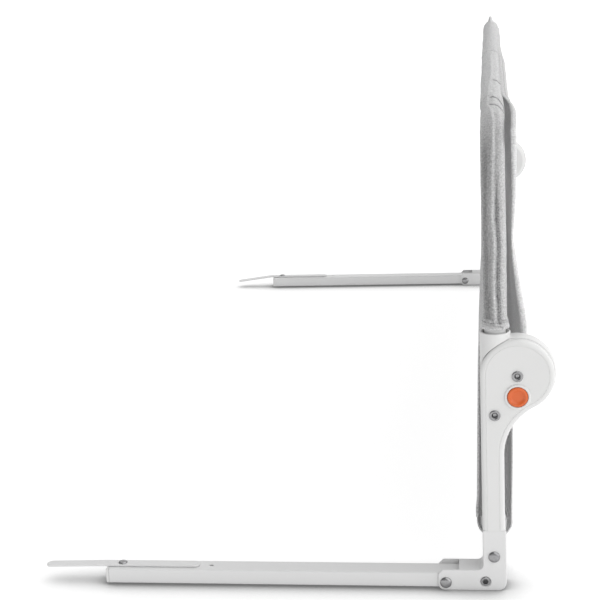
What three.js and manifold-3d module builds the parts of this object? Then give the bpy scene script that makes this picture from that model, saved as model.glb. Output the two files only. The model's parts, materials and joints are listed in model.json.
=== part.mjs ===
// Folding bed guard rail, in millimetres.
// X runs along the rail, +Y is the bed side, +Z is up, and the base stands on z = 0.
// Each end is drawn once in end coordinates: x is the depth inwards from the end face, and y is
// measured from the post's outer face towards the bed. The right end is the left end mirrored.

import * as THREE from 'three';
import { mergeVertices, toCreasedNormals } from 'three/addons/utils/BufferGeometryUtils.js';
import Module from 'manifold-3d';

// The whole rail
const railLength = 1200; // over the two end faces
const railHeight = 455.2; // to the top of the sleeve
const gap = 0.3; // between pieces that touch
const overrun = 1; // how far a cut runs past the surface it opens
const turningClearance = 0.3; // round a shank on which a piece turns

// Post covers and hinge head
const pivotOut = 13; // fold axis, outboard of the post's outer face
const pivotHeight = 217.5;
const headRadius = 34.5; // round head of the covers, about the fold axis
const flareRadius = 54; // hollow curve from the head down to the post
const coverBottom = 62.3;
const coverPlate = 8; // outer cover's thickness at the head
const shellWall = 2.9; // front and back walls of the covers and the bracket's leg
const sideWall = 2.5; // side walls of the covers
const coverBevel = 4.2; // width of the covers' sloping rim, seen from the end
const coverBevelDepth = 3;
const hingeDepth = 29.6; // over both covers at the head
const backRimStep = 3.5; // how far the inner cover's raised back is set in from its rim
const postDepth = 26.5; // post, bracket and covers below the head

// Hinge drum
const drumRadius = 36;
const drumThickness = 13.7;
const drumBevel = 0.8;
const drumClearance = 0.6; // between the drum's rim and the covers round it
const bossRadius = 14.25;
const bossTop = 262;
const bossBevel = 0.8;
const bossClearance = 0.5; // between the boss and the covers' heads
const socketDepth = 9.5;
const spigotLength = 46;
const spigotWall = 3;
const foldLimit = 165; // degrees

// Upper frame tube
const tubeOffset = 20; // inboard of the fold axis
const tubeDiameter = 20;
const tubeWall = 1.2;
const tubeBendRadius = 60;

// Release button, lock bolt and spring
const buttonDrop = 20; // below the fold axis
const buttonDiameter = 19.2;
const buttonProud = 2.4; // in front of the cover's face
const buttonDish = 0.9;
const buttonRim = 2.2; // width of the raised rim round the dish
const buttonEdge = 0.6;
const buttonFlange = 1.5; // how far the flange stands out from the button
const buttonFlangeThickness = 1.2;
const buttonClearance = 0.3;
const buttonLip = 2.6; // depth of the cover's lip, which keeps the flange in
const collarWidth = 2.2; // raised ring of the cover round the button
const collarProud = 1.5;
const collarEdge = 0.7;
const boltDiameter = 10;
const boltLength = 14.6;
const boltEdge = 0.6;
const boltNeckDiameter = 4.6;
const boltNeckLength = 2.4;
const slotClearance = 0.5; // on each side of the bolt, in the drum
const pocketFloor = 1.6; // wall left behind the bolt's pocket
const springWire = 0.9;
const springClearance = 0.4;
const springTurns = 4;

// Hollow rivets of the hinge
const hollowRivetHead = 10.6; // diameter
const hollowRivetShank = 7.4;
const hollowRivetRise = 1;
const hollowRivetBore = 5;
const hollowRivetBoreDepth = 3;
const hollowRivetEdgeShare = 0.33; // of its rim's width
const coverRivetDrop = 38.3; // below the fold axis
const coverRivetInset = 8.3; // from the post's outer face

// Corner bracket, its domed rivets and its screw
const bracketLip = 1; // how far the leg stands out past the covers
const bracketCorner = 9; // outer bottom corner
const bracketFillet = 6; // between the leg and the foot
const bracketWeb = 2;
const bracketWall = 1.5; // its front and back flanges
const bracketBevel = 0.7;
const footHeight = 21.3;
const footEndReach = 7.5; // from the arm's pivot to the foot's end
const footEndCorner = 6.5; // outer bottom corner of the foot's end
const footEndSlope = 4.6; // cut off the top of the foot's end
const webReach = 45; // where the foot's web stops, from the post's outer face
const domedRivetHead = 11.3; // diameter
const domedRivetShank = 6.6;
const domedRivetRise = 2.4;
const legRivetHeight = 35.4;
const screwHeight = 9.2;
const screwInset = 19.4; // from the post's outer face
const screwHead = 9.5; // diameter
const screwShank = 6;
const screwSocket = 6.2; // across its corners
const screwSocketSides = 6;
const screwSocketDepth = 3.4;
const screwTail = 1.8; // thickness of its head on the far side
const spacerDiameter = 10.4;

// Post core, the steel tube inside the covers
const coreWall = 1.5;
const coreBottom = 22;
const coreCorner = 2;

// Arm, its plug and its tongue
const armPivotReach = 57.5; // from the post's outer face
const armPivotHeight = 8.1;
const armLift = 2.1; // under the arm's tube
const armTail = 29.5; // behind the arm's pivot
const armReach = 393.4; // end of the tube, from the post's outer face
const armHeight = 15.1;
const armSideClearance = 0.35;
const armWall = 1.2;
const armCorner = 1.6;
const notchInset = 102.8; // small notch in the tube's top, from the arm's end
const notchLength = 4.3;
const notchWidth = 2.6;
const plugFlange = 3;
const plugDepth = 7;
const plugBevel = 0.6;
const tongueInset = 12.4; // its rivet, from the arm's end
const tongueLength = 158;
const tongueWidth = 11.5;
const tongueThickness = 2;
const tongueBend = 19; // where the outer half starts to droop, from its rivet
const tongueDroops = { left: 1.5, right: 7.6 }; // degrees
const tongueRivetHead = 9; // diameter
const tongueRivetShank = 4.4;
const tongueRivetRise = 1.6;
const tongueRivetTail = 6.6; // diameter of its tail, inside the tube
const tongueRivetTailThickness = 1;

// Lower cross tube and its sockets
const crossHeight = 61;
const crossSocketDiameter = 25;
const crossSocketLength = 16;
const crossSocketFloor = 3;
const crossSocketEdge = 1;
const crossStubDiameter = 10;
const crossStubLength = 5;

// Fabric
const clothGap = 0.3; // between the sleeve and the tube in it
const sleeveThickness = 0.8;
const hemBottom = 265;
const hemHeight = 8;
const hemExtra = 1.6; // how much thicker the hem is
const clothThickness = 2;
const clothInset = 31; // fabric's edges, inwards from the end faces
const foldGap = 0.3; // from the fold line to the fabric's edges on each side of it
const loopRadius = 17.2; // outside of the fabric's loop round the cross tube
const loopDrop = 2.2; // loop's middle, below the cross tube
const innerClothInset = 27; // outside of the lower inner wall, from the post's outer face
const outerClothTops = { left: 14, right: 6.7 }; // outer wall's edges at the top, outboard of the post
const outerClothWaist = 11.4; // and at their narrowest
const outerClothBulge = 22.8; // and where they bulge most, above the hinge
const outerClothFold = 12.4; // the whole wall at the fold line
const outerClothMiddle = 6.7; // and half way along the rail, at the top
const bulgeHeight = 262;
const waistHeight = 335;
const flareReach = 330; // how far along the rail the edges' flare dies out
const flareHeight = 422; // where the edges have come out to their top line
const freeEdgeHeight = 442; // top of its free corners, which aren't sewn to the sleeve
const freeEdgeStart = 85; // where these begin to come in to the sleeve, from the fabric's edge
const freeEdgeEnd = 145;
const settleHeight = 45; // height over which a wall comes in to its own line
const innerClothSettle = 15; // the same for the inner wall, below the sleeve's hem
const clothFolds = 5; // soft folds along the rail
const clothFoldDepth = 1.2;
const seamAngle = 150; // where the outer wall's top is sewn to the sleeve, in degrees from the bed side
const rowCrowding = 1.4; // how much closer together its rows are near the fold line

// Smoothness
const roundSteps = 12; // sides of a small round piece
const tubeSteps = 16;
const arcSteps = 9; // half the steps of a long arc
const cornerSteps = 2; // half the steps of a small corner
const bendSteps = 6; // in each bend of the upper tube
const bevelSteps = 2;
const domeSteps = 3;
const springSteps = 8; // per turn
const springSides = 5;
const plainColumns = 4; // of a wall that is straight along the rail
const foldColumns = 20; // of one with soft folds
const clothRows = 8;
const loopSteps = 8;
const creaseAngle = Math.PI / 6;
const weld = 1e-4;

// Values worked out from the sizes above
const postWidth = headRadius - pivotOut;
const postMiddle = postWidth / 2;
const drumStart = coverPlate + gap;
const drumEnd = drumStart + drumThickness;
const hingeMiddle = (drumStart + drumEnd) / 2;
const coverSplit = postDepth / 2;
const tubeY = tubeOffset - pivotOut;
const tubeRadius = tubeDiameter / 2;
const sleeveInside = tubeRadius + clothGap;
const sleeveRadius = sleeveInside + sleeveThickness;
const topTubeHeight = railHeight - sleeveRadius;
const socketFloor = bossTop - socketDepth;
const buttonHeight = pivotHeight - buttonDrop;
const buttonRadius = buttonDiameter / 2;
const flangeRadius = buttonRadius + buttonFlange;
const flangeStart = buttonLip + gap;
const flangeEnd = flangeStart + buttonFlangeThickness;
const boltStart = flangeEnd + gap;
const boltEnd = boltStart + boltLength;
const boltRadius = boltDiameter / 2;
const pocketEnd = hingeDepth - pocketFloor;
const coverRivetHeight = pivotHeight - coverRivetDrop;
const armTop = armLift + armHeight;
const notchReach = armReach - notchInset;
const tongueReach = armReach - tongueInset;
const armStart = bracketWall + armSideClearance;
const armWidth = postDepth - 2 * armStart;
const footCeiling = footHeight - bracketWeb;
const footEnd = armPivotReach + footEndReach;
const legTop = coverBottom - gap;
const coreFront = shellWall + gap;
const coreBack = postDepth - shellWall - gap;
const coreOuter = sideWall + gap;
const coreInner = postWidth - sideWall - gap;
const flangeSeat = postDepth + gap;
const clothHalfLength = railLength / 2 - clothInset;
const legX = railLength / 2 - hingeMiddle;
const boxMiddleY = (tongueReach + tongueLength / 2 - pivotOut - drumRadius) / 2;

const wasm = await Module();
wasm.setup();

// Materials
function finish(color, roughness, metalness) {
  return () => new THREE.MeshStandardMaterial({ color, roughness, metalness });
}

const whiteSteel = finish(0xe6e6e6, 0.4, 0.1);
const whitePlastic = finish(0xe2e2e2, 0.5, 0);
const greyPlastic = finish(0xc9c9c9, 0.55, 0);
const orangePlastic = finish(0xdf6b35, 0.45, 0);
const platedSteel = finish(0xb4b4b4, 0.3, 0.9);
const greyFabric = finish(0xa9a9a9, 0.95, 0);

// Turns a closed geometry into a solid whose faces point out
function solid(geometry) {
  const bare = new THREE.BufferGeometry();
  bare.setAttribute('position', geometry.getAttribute('position'));
  bare.setIndex(geometry.getIndex());
  const merged = mergeVertices(bare, weld);
  const positions = merged.getAttribute('position').array;
  const corners = [];
  let volume = 0;
  for (let i = 0; i < merged.index.count; i += 3) {
    const [a, b, c] = merged.index.array.slice(i, i + 3);
    if (a !== b && b !== c && c !== a) {
      corners.push(a, b, c);
      volume += sixfoldVolume(positions, a, b, c);
    }
  }
  if (volume < 0) {
    corners.reverse();
  }
  const vertProperties = Float32Array.from(positions);
  const triVerts = Uint32Array.from(corners);
  return new wasm.Manifold(new wasm.Mesh({ numProp: 3, vertProperties, triVerts }));
}

function sixfoldVolume(positions, a, b, c) {
  const corner = (i) => new THREE.Vector3().fromArray(positions, 3 * i);
  return corner(a).dot(corner(b).cross(corner(c)));
}

// Turns a solid back into a geometry, mirrored for the right end
function geometryOf(body, mirrored) {
  const mesh = body.getMesh();
  const geometry = new THREE.BufferGeometry();
  const positions = Float32Array.from(mesh.vertProperties);
  const corners = Array.from(mesh.triVerts);
  geometry.setAttribute('position', new THREE.BufferAttribute(positions, 3));
  geometry.setIndex(mirrored ? corners.reverse() : corners);
  if (mirrored) {
    geometry.scale(-1, 1, 1);
  }
  return toCreasedNormals(geometry, creaseAngle);
}

// Shapes are drawn in (y, z) and extruded along +X from one depth to another
const drawnAcross = new THREE.Matrix4().makeBasis(
  new THREE.Vector3(0, 1, 0),
  new THREE.Vector3(0, 0, 1),
  new THREE.Vector3(1, 0, 0)
);

// Shapes are drawn in (x, z) and extruded along +Y
const drawnAlong = new THREE.Matrix4().makeBasis(
  new THREE.Vector3(1, 0, 0),
  new THREE.Vector3(0, 0, 1),
  new THREE.Vector3(0, 1, 0)
);

function extruded(shape, length, steps, bevel = 0, bevelDepth = bevel) {
  return new THREE.ExtrudeGeometry(shape, {
    depth: length - 2 * bevelDepth,
    curveSegments: steps,
    bevelEnabled: bevel > 0,
    bevelSize: bevel,
    bevelThickness: bevelDepth,
    bevelOffset: -bevel,
    bevelSegments: bevelSteps
  }).translate(0, 0, bevelDepth);
}

function across(shape, from, to, steps = arcSteps, bevel = 0, bevelDepth = bevel) {
  const geometry = extruded(shape, to - from, steps, bevel, bevelDepth);
  return solid(geometry.applyMatrix4(drawnAcross).translate(from, 0, 0));
}

function along(shape, from, to, steps = cornerSteps, bevel = 0) {
  const geometry = extruded(shape, to - from, steps, bevel);
  return solid(geometry.applyMatrix4(drawnAlong).translate(0, from, 0));
}

function upright(shape, from, to, steps = cornerSteps) {
  return solid(extruded(shape, to - from, steps).translate(0, 0, from));
}

function block(x0, x1, y0, y1, z0, z1) {
  const geometry = new THREE.BoxGeometry(x1 - x0, y1 - y0, z1 - z0);
  return solid(geometry.translate((x0 + x1) / 2, (y0 + y1) / 2, (z0 + z1) / 2));
}

// A round piece about an axis along X through (y, z); its profile is a list of [x, radius]
function turned(profile, y, z, steps = roundSteps) {
  const points = profile.map(([x, radius]) => new THREE.Vector2(radius, x));
  const geometry = new THREE.LatheGeometry(points, steps);
  return solid(geometry.rotateZ(-Math.PI / 2).translate(0, y, z));
}

// A round piece about a vertical axis through (x, y); its profile is a list of [z, radius]
function turnedUpright(profile, x, y, steps = roundSteps) {
  const points = profile.map(([z, radius]) => new THREE.Vector2(radius, z));
  const geometry = new THREE.LatheGeometry(points, steps);
  return solid(geometry.rotateX(Math.PI / 2).translate(x, y, 0));
}

function rod(from, to, radius, y, z, steps = roundSteps) {
  return turned([[from, 0], [from, radius], [to, radius], [to, 0]], y, z, steps);
}

function uprightRod(from, to, radius, x, y, steps = roundSteps) {
  return turnedUpright([[from, 0], [from, radius], [to, radius], [to, 0]], x, y, steps);
}

// A shape's outline with rounded corners, about its middle
function roundedRectangle(width, height, corner, middleX, middleY) {
  const shape = new THREE.Shape();
  const x = width / 2 - corner;
  const y = height / 2 - corner;
  const quarter = Math.PI / 2;
  shape.absarc(middleX + x, middleY - y, corner, -quarter, 0);
  shape.absarc(middleX + x, middleY + y, corner, 0, quarter);
  shape.absarc(middleX - x, middleY + y, corner, quarter, 2 * quarter);
  shape.absarc(middleX - x, middleY - y, corner, 2 * quarter, 3 * quarter);
  shape.closePath();
  return shape;
}

function mixed(a, b, share) {
  return a + (b - a) * share;
}

function smooth(value, low, high) {
  return THREE.MathUtils.smoothstep(value, low, high);
}

// Builds a closed surface from rings of points; each ring has as many points as the first
function skinned(rings, closed) {
  const positions = rings.flat().flatMap((point) => point.toArray());
  const count = rings[0].length;
  const corners = [];
  const last = closed ? rings.length : rings.length - 1;
  for (let i = 0; i < last; i++) {
    const next = (i + 1) % rings.length;
    for (let j = 0; j < count; j++) {
      const a = i * count + j;
      const b = i * count + ((j + 1) % count);
      const c = next * count + ((j + 1) % count);
      const d = next * count + j;
      corners.push(a, b, c, a, c, d);
    }
  }
  if (!closed) {
    capRing(corners, 0, count, false);
    capRing(corners, (rings.length - 1) * count, count, true);
  }
  const geometry = new THREE.BufferGeometry();
  geometry.setAttribute('position', new THREE.Float32BufferAttribute(positions, 3));
  geometry.setIndex(corners);
  return solid(geometry);
}

// Closes an end of the surface by a strip across its ring
function capRing(corners, first, count, forwards) {
  const add = (a, b, c) => corners.push(first + a, first + (forwards ? b : c), first + (forwards ? c : b));
  for (let near = 0, far = count - 1; far - near > 1; near++, far--) {
    add(near, near + 1, far);
    if (far - near > 2) {
      add(near + 1, far - 1, far);
    }
  }
}

// The covers' outline: a straight edge on the bed side, a round head and a hollow flare
const flareDrop = Math.sqrt((headRadius + flareRadius) ** 2 - (flareRadius - pivotOut) ** 2);
const flareAngle = Math.atan2(flareDrop, flareRadius - pivotOut);

function coverOutline(bottom) {
  const shape = new THREE.Shape();
  shape.moveTo(0, bottom);
  shape.lineTo(postWidth, bottom);
  shape.absarc(-pivotOut, pivotHeight, headRadius, 0, Math.PI + flareAngle);
  shape.absarc(-flareRadius, pivotHeight - flareDrop, flareRadius, flareAngle, 0, true);
  shape.closePath();
  return shape;
}

// What both covers are cut by: the drum's room, the post core, the rivets and what is below them
function cutForHinge(cover, from, to) {
  const drumRoom = rod(drumStart - gap, drumEnd + gap, drumRadius + drumClearance, -pivotOut,
    pivotHeight, 4 * arcSteps);
  const core = block(coreFront - gap, coreBack + gap, sideWall, postWidth - sideWall,
    coverBottom - overrun, pivotHeight);
  const below = block(from - overrun, to + overrun, -overrun, postWidth + overrun,
    coverBottom - coverBevel - overrun, coverBottom);
  const pivotHole = rod(from - overrun, to + overrun, hollowRivetShank / 2 + gap, -pivotOut, pivotHeight);
  const rivetHole = rod(from - overrun, to + overrun, hollowRivetShank / 2 + gap, coverRivetInset,
    coverRivetHeight);
  const coreRoom = core.subtract(headZone());
  const holes = pivotHole.add(rivetHole);
  return cover.subtract(drumRoom).subtract(coreRoom).subtract(below).subtract(holes);
}

// The round zone about the fold axis that the post core keeps out of
function headZone() {
  const radius = drumRadius + drumClearance - gap;
  return rod(-overrun, hingeDepth + overrun, radius, -pivotOut, pivotHeight, 4 * arcSteps);
}

function outerCover() {
  const outline = coverOutline(coverBottom - coverBevel - overrun);
  const whole = across(outline, 0, postDepth, arcSteps, coverBevel, coverBevelDepth);
  const back = block(coverSplit - gap / 2, postDepth + overrun, -pivotOut - headRadius - overrun,
    postWidth + overrun, 0, railHeight);
  const collarRadius = buttonRadius + buttonClearance + collarWidth;
  const collar = turned([
    [overrun, 0],
    [overrun, collarRadius],
    [collarEdge - collarProud, collarRadius],
    [-collarProud, collarRadius - collarEdge],
    [-collarProud, 0]
  ], -pivotOut, buttonHeight, 2 * roundSteps);
  const bore = rod(-collarProud - overrun, coverPlate + overrun, buttonRadius + buttonClearance, -pivotOut,
    buttonHeight, 2 * roundSteps);
  const flangeRoom = rod(buttonLip, coverPlate + overrun, flangeRadius + buttonClearance, -pivotOut,
    buttonHeight, 2 * roundSteps);
  const cover = cutForHinge(whole.subtract(back), 0, coverSplit);
  return cover.add(collar).subtract(bore).subtract(flangeRoom);
}

function innerCover() {
  const outline = coverOutline(coverBottom - coverBevel - overrun);
  const whole = across(outline, 0, postDepth, arcSteps, coverBevel, coverBevelDepth);
  const front = block(-overrun, coverSplit + gap / 2, -pivotOut - headRadius - overrun,
    postWidth + overrun, 0, railHeight);
  const raisedRadius = headRadius - backRimStep;
  const raised = turned([
    [drumEnd + gap, 0],
    [drumEnd + gap, raisedRadius],
    [hingeDepth - drumBevel, raisedRadius],
    [hingeDepth, raisedRadius - drumBevel],
    [hingeDepth, 0]
  ], -pivotOut, pivotHeight, 4 * arcSteps);
  const pocket = rod(drumEnd - overrun, pocketEnd, boltRadius + slotClearance, -pivotOut, buttonHeight);
  const cover = cutForHinge(whole.subtract(front).add(raised), coverSplit, hingeDepth);
  return cover.subtract(pocket).subtract(stubHole());
}

// The slot in the drum, in which the bolt stays as the drum turns
function boltSlot() {
  const reach = boltRadius + slotClearance;
  const restEnd = -Math.PI / 2;
  const foldedEnd = restEnd - THREE.MathUtils.degToRad(foldLimit);
  const shape = new THREE.Shape();
  const capAt = (angle) => [
    buttonDrop * Math.cos(angle) - pivotOut,
    buttonDrop * Math.sin(angle) + pivotHeight
  ];
  shape.absarc(-pivotOut, pivotHeight, buttonDrop + reach, foldedEnd, restEnd);
  shape.absarc(...capAt(restEnd), reach, restEnd, restEnd + Math.PI);
  shape.absarc(-pivotOut, pivotHeight, buttonDrop - reach, restEnd, foldedEnd, true);
  shape.absarc(...capAt(foldedEnd), reach, foldedEnd + Math.PI, foldedEnd + 2 * Math.PI);
  shape.closePath();
  return across(shape, drumStart - overrun, drumEnd + overrun, arcSteps);
}

// The hole in the post's bed side face for the cross socket's stub
function stubHole() {
  const radius = crossStubDiameter / 2 + gap;
  return rod(coverSplit, postDepth + overrun, radius, postMiddle, crossHeight);
}

function hingeDrum() {
  const disc = turned([
    [drumStart, 0],
    [drumStart, drumRadius - drumBevel],
    [drumStart + drumBevel, drumRadius],
    [drumEnd - drumBevel, drumRadius],
    [drumEnd, drumRadius - drumBevel],
    [drumEnd, 0]
  ], -pivotOut, pivotHeight, 4 * arcSteps);
  const boss = turnedUpright([
    [pivotHeight, 0],
    [pivotHeight, bossRadius],
    [bossTop - bossBevel, bossRadius],
    [bossTop, bossRadius - bossBevel],
    [bossTop, 0]
  ], hingeMiddle, tubeY, 2 * roundSteps);
  const heads = rod(-overrun, hingeDepth + overrun, headRadius + bossClearance, -pivotOut, pivotHeight,
    4 * arcSteps);
  const socket = uprightRod(socketFloor, bossTop + overrun, tubeRadius + gap, hingeMiddle, tubeY,
    tubeSteps);
  const spigotTop = socketFloor + spigotLength;
  const spigotRadius = tubeRadius - tubeWall - gap;
  const spigot = uprightRod(socketFloor - overrun, spigotTop, spigotRadius, hingeMiddle, tubeY, tubeSteps);
  const spigotBore = uprightRod(socketFloor, spigotTop + overrun, spigotRadius - spigotWall, hingeMiddle,
    tubeY, tubeSteps);
  const pivotBore = rod(drumStart - overrun, drumEnd + overrun, hollowRivetShank / 2 + turningClearance,
    -pivotOut, pivotHeight);
  const bedSide = block(0, hingeDepth, postWidth, postWidth + drumRadius, 0, railHeight);
  const body = boss.subtract(heads).add(disc).subtract(bedSide).subtract(socket).add(spigot);
  return body.subtract(spigotBore).subtract(pivotBore).subtract(boltSlot());
}

function releaseButton() {
  const face = -buttonProud;
  const dish = buttonRadius - buttonRim;
  return turned([
    [face + buttonDish, 0],
    [face + buttonDish, dish - buttonDish],
    [face, dish],
    [face, buttonRadius - buttonEdge],
    [face + buttonEdge, buttonRadius],
    [flangeStart, buttonRadius],
    [flangeStart, flangeRadius],
    [flangeEnd, flangeRadius],
    [flangeEnd, 0]
  ], -pivotOut, buttonHeight, 2 * roundSteps);
}

function lockBolt() {
  const neckRadius = boltNeckDiameter / 2;
  return turned([
    [boltStart, 0],
    [boltStart, boltRadius],
    [boltEnd - boltEdge, boltRadius],
    [boltEnd, boltRadius - boltEdge],
    [boltEnd, neckRadius],
    [boltEnd + boltNeckLength, neckRadius],
    [boltEnd + boltNeckLength, 0]
  ], -pivotOut, buttonHeight);
}

// One unbroken coil behind the bolt
function buttonSpring() {
  const wire = springWire / 2;
  const radius = boltNeckDiameter / 2 + springClearance + wire;
  const start = boltEnd + gap + wire;
  const end = pocketEnd - gap - wire;
  const rings = [];
  const count = springTurns * springSteps;
  for (let i = 0; i <= count; i++) {
    const turn = (2 * Math.PI * i) / springSteps;
    const out = new THREE.Vector3(0, Math.cos(turn), Math.sin(turn));
    const middle = new THREE.Vector3(mixed(start, end, i / count), -pivotOut, buttonHeight);
    middle.addScaledVector(out, radius);
    const ring = [];
    for (let j = 0; j < springSides; j++) {
      const angle = (2 * Math.PI * j) / springSides;
      const point = middle.clone().addScaledVector(out, wire * Math.cos(angle));
      point.x += wire * Math.sin(angle);
      ring.push(point);
    }
    rings.push(ring);
  }
  return skinned(rings, false);
}

// Half of a dome's profile, from its foot to its top, on the side that step points to
function dome(seat, radius, rise, direction) {
  const points = [];
  for (let i = 0; i <= domeSteps; i++) {
    const angle = (Math.PI / 2) * (i / domeSteps);
    points.push([seat + direction * rise * Math.sin(angle), radius * Math.cos(angle)]);
  }
  return points;
}

function hollowRivet(back, y, z) {
  const head = hollowRivetHead / 2;
  const bore = hollowRivetBore / 2;
  const edge = hollowRivetEdgeShare * (head - bore);
  const shank = hollowRivetShank / 2;
  const front = -gap - hollowRivetRise;
  const end = back + gap + hollowRivetRise;
  return turned([
    [front + hollowRivetBoreDepth, 0],
    [front + hollowRivetBoreDepth, bore],
    [front + edge / 2, bore],
    [front, bore + edge],
    [front, head - edge],
    [-gap, head],
    [-gap, shank],
    [back + gap, shank],
    [back + gap, head],
    [end, head - edge],
    [end, bore + edge],
    [end - edge / 2, bore],
    [end - hollowRivetBoreDepth, bore],
    [end - hollowRivetBoreDepth, 0]
  ], y, z);
}

function domedRivet(y, z) {
  const head = domedRivetHead / 2;
  const shank = domedRivetShank / 2;
  return turned([
    ...dome(-gap, head, domedRivetRise, -1).reverse(),
    [-gap, shank],
    [postDepth + gap, shank],
    ...dome(postDepth + gap, head, domedRivetRise, 1)
  ], y, z);
}

// The bracket's outline: a leg and a foot
function bracketOutline() {
  const shape = new THREE.Shape();
  const quarter = Math.PI / 2;
  const fillet = footHeight + bracketFillet;
  shape.moveTo(bracketCorner - bracketLip, 0);
  shape.absarc(footEnd - footEndCorner, footEndCorner, footEndCorner, -quarter, 0);
  shape.lineTo(footEnd, footHeight - footEndSlope);
  shape.lineTo(footEnd - footEndSlope, footHeight);
  shape.absarc(postWidth + bracketFillet, fillet, bracketFillet, -quarter, -2 * quarter, true);
  shape.lineTo(postWidth, legTop + bracketBevel + overrun);
  shape.lineTo(-bracketLip, legTop + bracketBevel + overrun);
  shape.absarc(bracketCorner - bracketLip, bracketCorner, bracketCorner, 2 * quarter, 3 * quarter);
  shape.closePath();
  return shape;
}

// The room between the bracket's flanges, open below and at the foot's end
function bracketChannel() {
  const shape = new THREE.Shape();
  const middle = bracketCorner - bracketLip;
  const inside = bracketCorner - bracketWall;
  shape.moveTo(middle, -overrun);
  shape.lineTo(footEnd + overrun, -overrun);
  shape.lineTo(footEnd + overrun, footCeiling);
  shape.lineTo(bracketWall - bracketLip, footCeiling);
  shape.absarc(middle, bracketCorner, inside, Math.PI, 1.5 * Math.PI);
  shape.closePath();
  return across(shape, bracketWall, postDepth - bracketWall, 2 * cornerSteps);
}

function cornerBracket() {
  const whole = across(bracketOutline(), 0, postDepth, 2 * cornerSteps, bracketBevel);
  const inside = postDepth - shellWall;
  const top = block(-overrun, postDepth + overrun, -bracketLip - overrun, postWidth + overrun, legTop,
    railHeight);
  const leg = block(shellWall, inside, coreOuter - gap, coreInner + gap, footCeiling - overrun,
    legTop + overrun);
  const slit = block(bracketWall, postDepth - bracketWall, webReach, footEnd + overrun,
    footCeiling - overrun, footHeight + overrun);
  const shank = domedRivetShank / 2 + gap;
  const armHole = rod(-overrun, postDepth + overrun, shank, armPivotReach, armPivotHeight);
  const legHole = rod(-overrun, postDepth + overrun, shank, postMiddle, legRivetHeight);
  const screwHole = turned([
    [-overrun, 0],
    [-overrun, screwHead / 2 + gap],
    [gap, screwHead / 2 + gap],
    [gap + (screwHead - screwShank) / 2, screwShank / 2 + gap],
    [postDepth + overrun, screwShank / 2 + gap],
    [postDepth + overrun, 0]
  ], screwInset, screwHeight);
  const shell = whole.subtract(top).subtract(bracketChannel()).subtract(leg).subtract(slit);
  return shell.subtract(armHole).subtract(legHole).subtract(screwHole).subtract(stubHole());
}

function bracketScrew() {
  const head = screwHead / 2;
  const shank = screwShank / 2;
  const back = postDepth + gap;
  const screw = turned([
    [gap, 0],
    [gap, head],
    [gap + head - shank, shank],
    [back, shank],
    [back, head],
    [back + screwTail, head - screwTail / 2],
    [back + screwTail, 0]
  ], screwInset, screwHeight);
  const socket = rod(-overrun, gap + screwSocketDepth, screwSocket / 2, screwInset, screwHeight,
    screwSocketSides);
  return screw.subtract(socket);
}

function bracketSpacer() {
  const from = bracketWall + gap;
  const to = postDepth - bracketWall - gap;
  const outside = rod(from, to, spacerDiameter / 2, screwInset, screwHeight);
  return outside.subtract(rod(from - overrun, to + overrun, screwShank / 2 + gap, screwInset, screwHeight));
}

function postCore() {
  const width = coreBack - coreFront;
  const depth = coreInner - coreOuter;
  const middleX = (coreFront + coreBack) / 2;
  const outside = roundedRectangle(width, depth, coreCorner, middleX, postMiddle);
  outside.holes.push(roundedRectangle(width - 2 * coreWall, depth - 2 * coreWall, coreCorner - coreWall,
    middleX, postMiddle));
  const tube = upright(outside, coreBottom, pivotHeight);
  const headRoom = rod(0, hingeDepth, drumRadius + drumClearance + gap, -pivotOut, pivotHeight,
    4 * arcSteps);
  const legHole = rod(0, postDepth, domedRivetShank / 2 + gap, postMiddle, legRivetHeight);
  const coverHole = rod(0, postDepth, hollowRivetShank / 2 + gap, coverRivetInset, coverRivetHeight);
  return tube.subtract(headRoom).subtract(legHole).subtract(coverHole).subtract(stubHole());
}

function crossSocket() {
  const outside = crossSocketDiameter / 2;
  const end = flangeSeat + crossSocketLength;
  const stub = crossStubDiameter / 2;
  return turned([
    [flangeSeat - crossStubLength, 0],
    [flangeSeat - crossStubLength, stub],
    [flangeSeat, stub],
    [flangeSeat, outside],
    [end - crossSocketEdge, outside],
    [end, outside - crossSocketEdge],
    [end, tubeRadius + gap],
    [flangeSeat + crossSocketFloor, tubeRadius + gap],
    [flangeSeat + crossSocketFloor, 0]
  ], postMiddle, crossHeight, tubeSteps);
}

function crossTube() {
  const end = railLength / 2 - flangeSeat - crossSocketFloor - gap;
  const outside = rod(-end, end, tubeRadius, postMiddle, crossHeight, tubeSteps);
  const inside = tubeRadius - tubeWall;
  return outside.subtract(rod(-end - overrun, end + overrun, inside, postMiddle, crossHeight, tubeSteps));
}

function armTube() {
  const middleX = armStart + armWidth / 2;
  const middleZ = armLift + armHeight / 2;
  const outside = roundedRectangle(armWidth, armHeight, armCorner, middleX, middleZ);
  outside.holes.push(roundedRectangle(armWidth - 2 * armWall, armHeight - 2 * armWall, armCorner - armWall,
    middleX, middleZ));
  const tube = along(outside, armPivotReach - armTail, armReach);
  const pivotHole = rod(0, postDepth, domedRivetShank / 2 + turningClearance, armPivotReach,
    armPivotHeight);
  const rivetHole = uprightRod(middleZ, armTop + overrun, tongueRivetShank / 2 + gap, middleX, tongueReach);
  const notch = block(middleX - notchWidth / 2, middleX + notchWidth / 2, notchReach - notchLength / 2,
    notchReach + notchLength / 2, middleZ, armTop + overrun);
  return tube.subtract(pivotHole).subtract(rivetHole).subtract(notch);
}

function armPlug() {
  const middleX = armStart + armWidth / 2;
  const middleZ = armLift + armHeight / 2;
  const inset = armWall + gap;
  const insert = roundedRectangle(armWidth - 2 * inset, armHeight - 2 * inset, armCorner - armWall, middleX,
    middleZ);
  const cap = roundedRectangle(armWidth, armHeight, armCorner, middleX, middleZ);
  const capStart = armReach + gap;
  const head = along(cap, capStart, capStart + plugFlange, cornerSteps, plugBevel);
  return head.add(along(insert, armReach - plugDepth, capStart + plugBevel));
}

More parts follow.
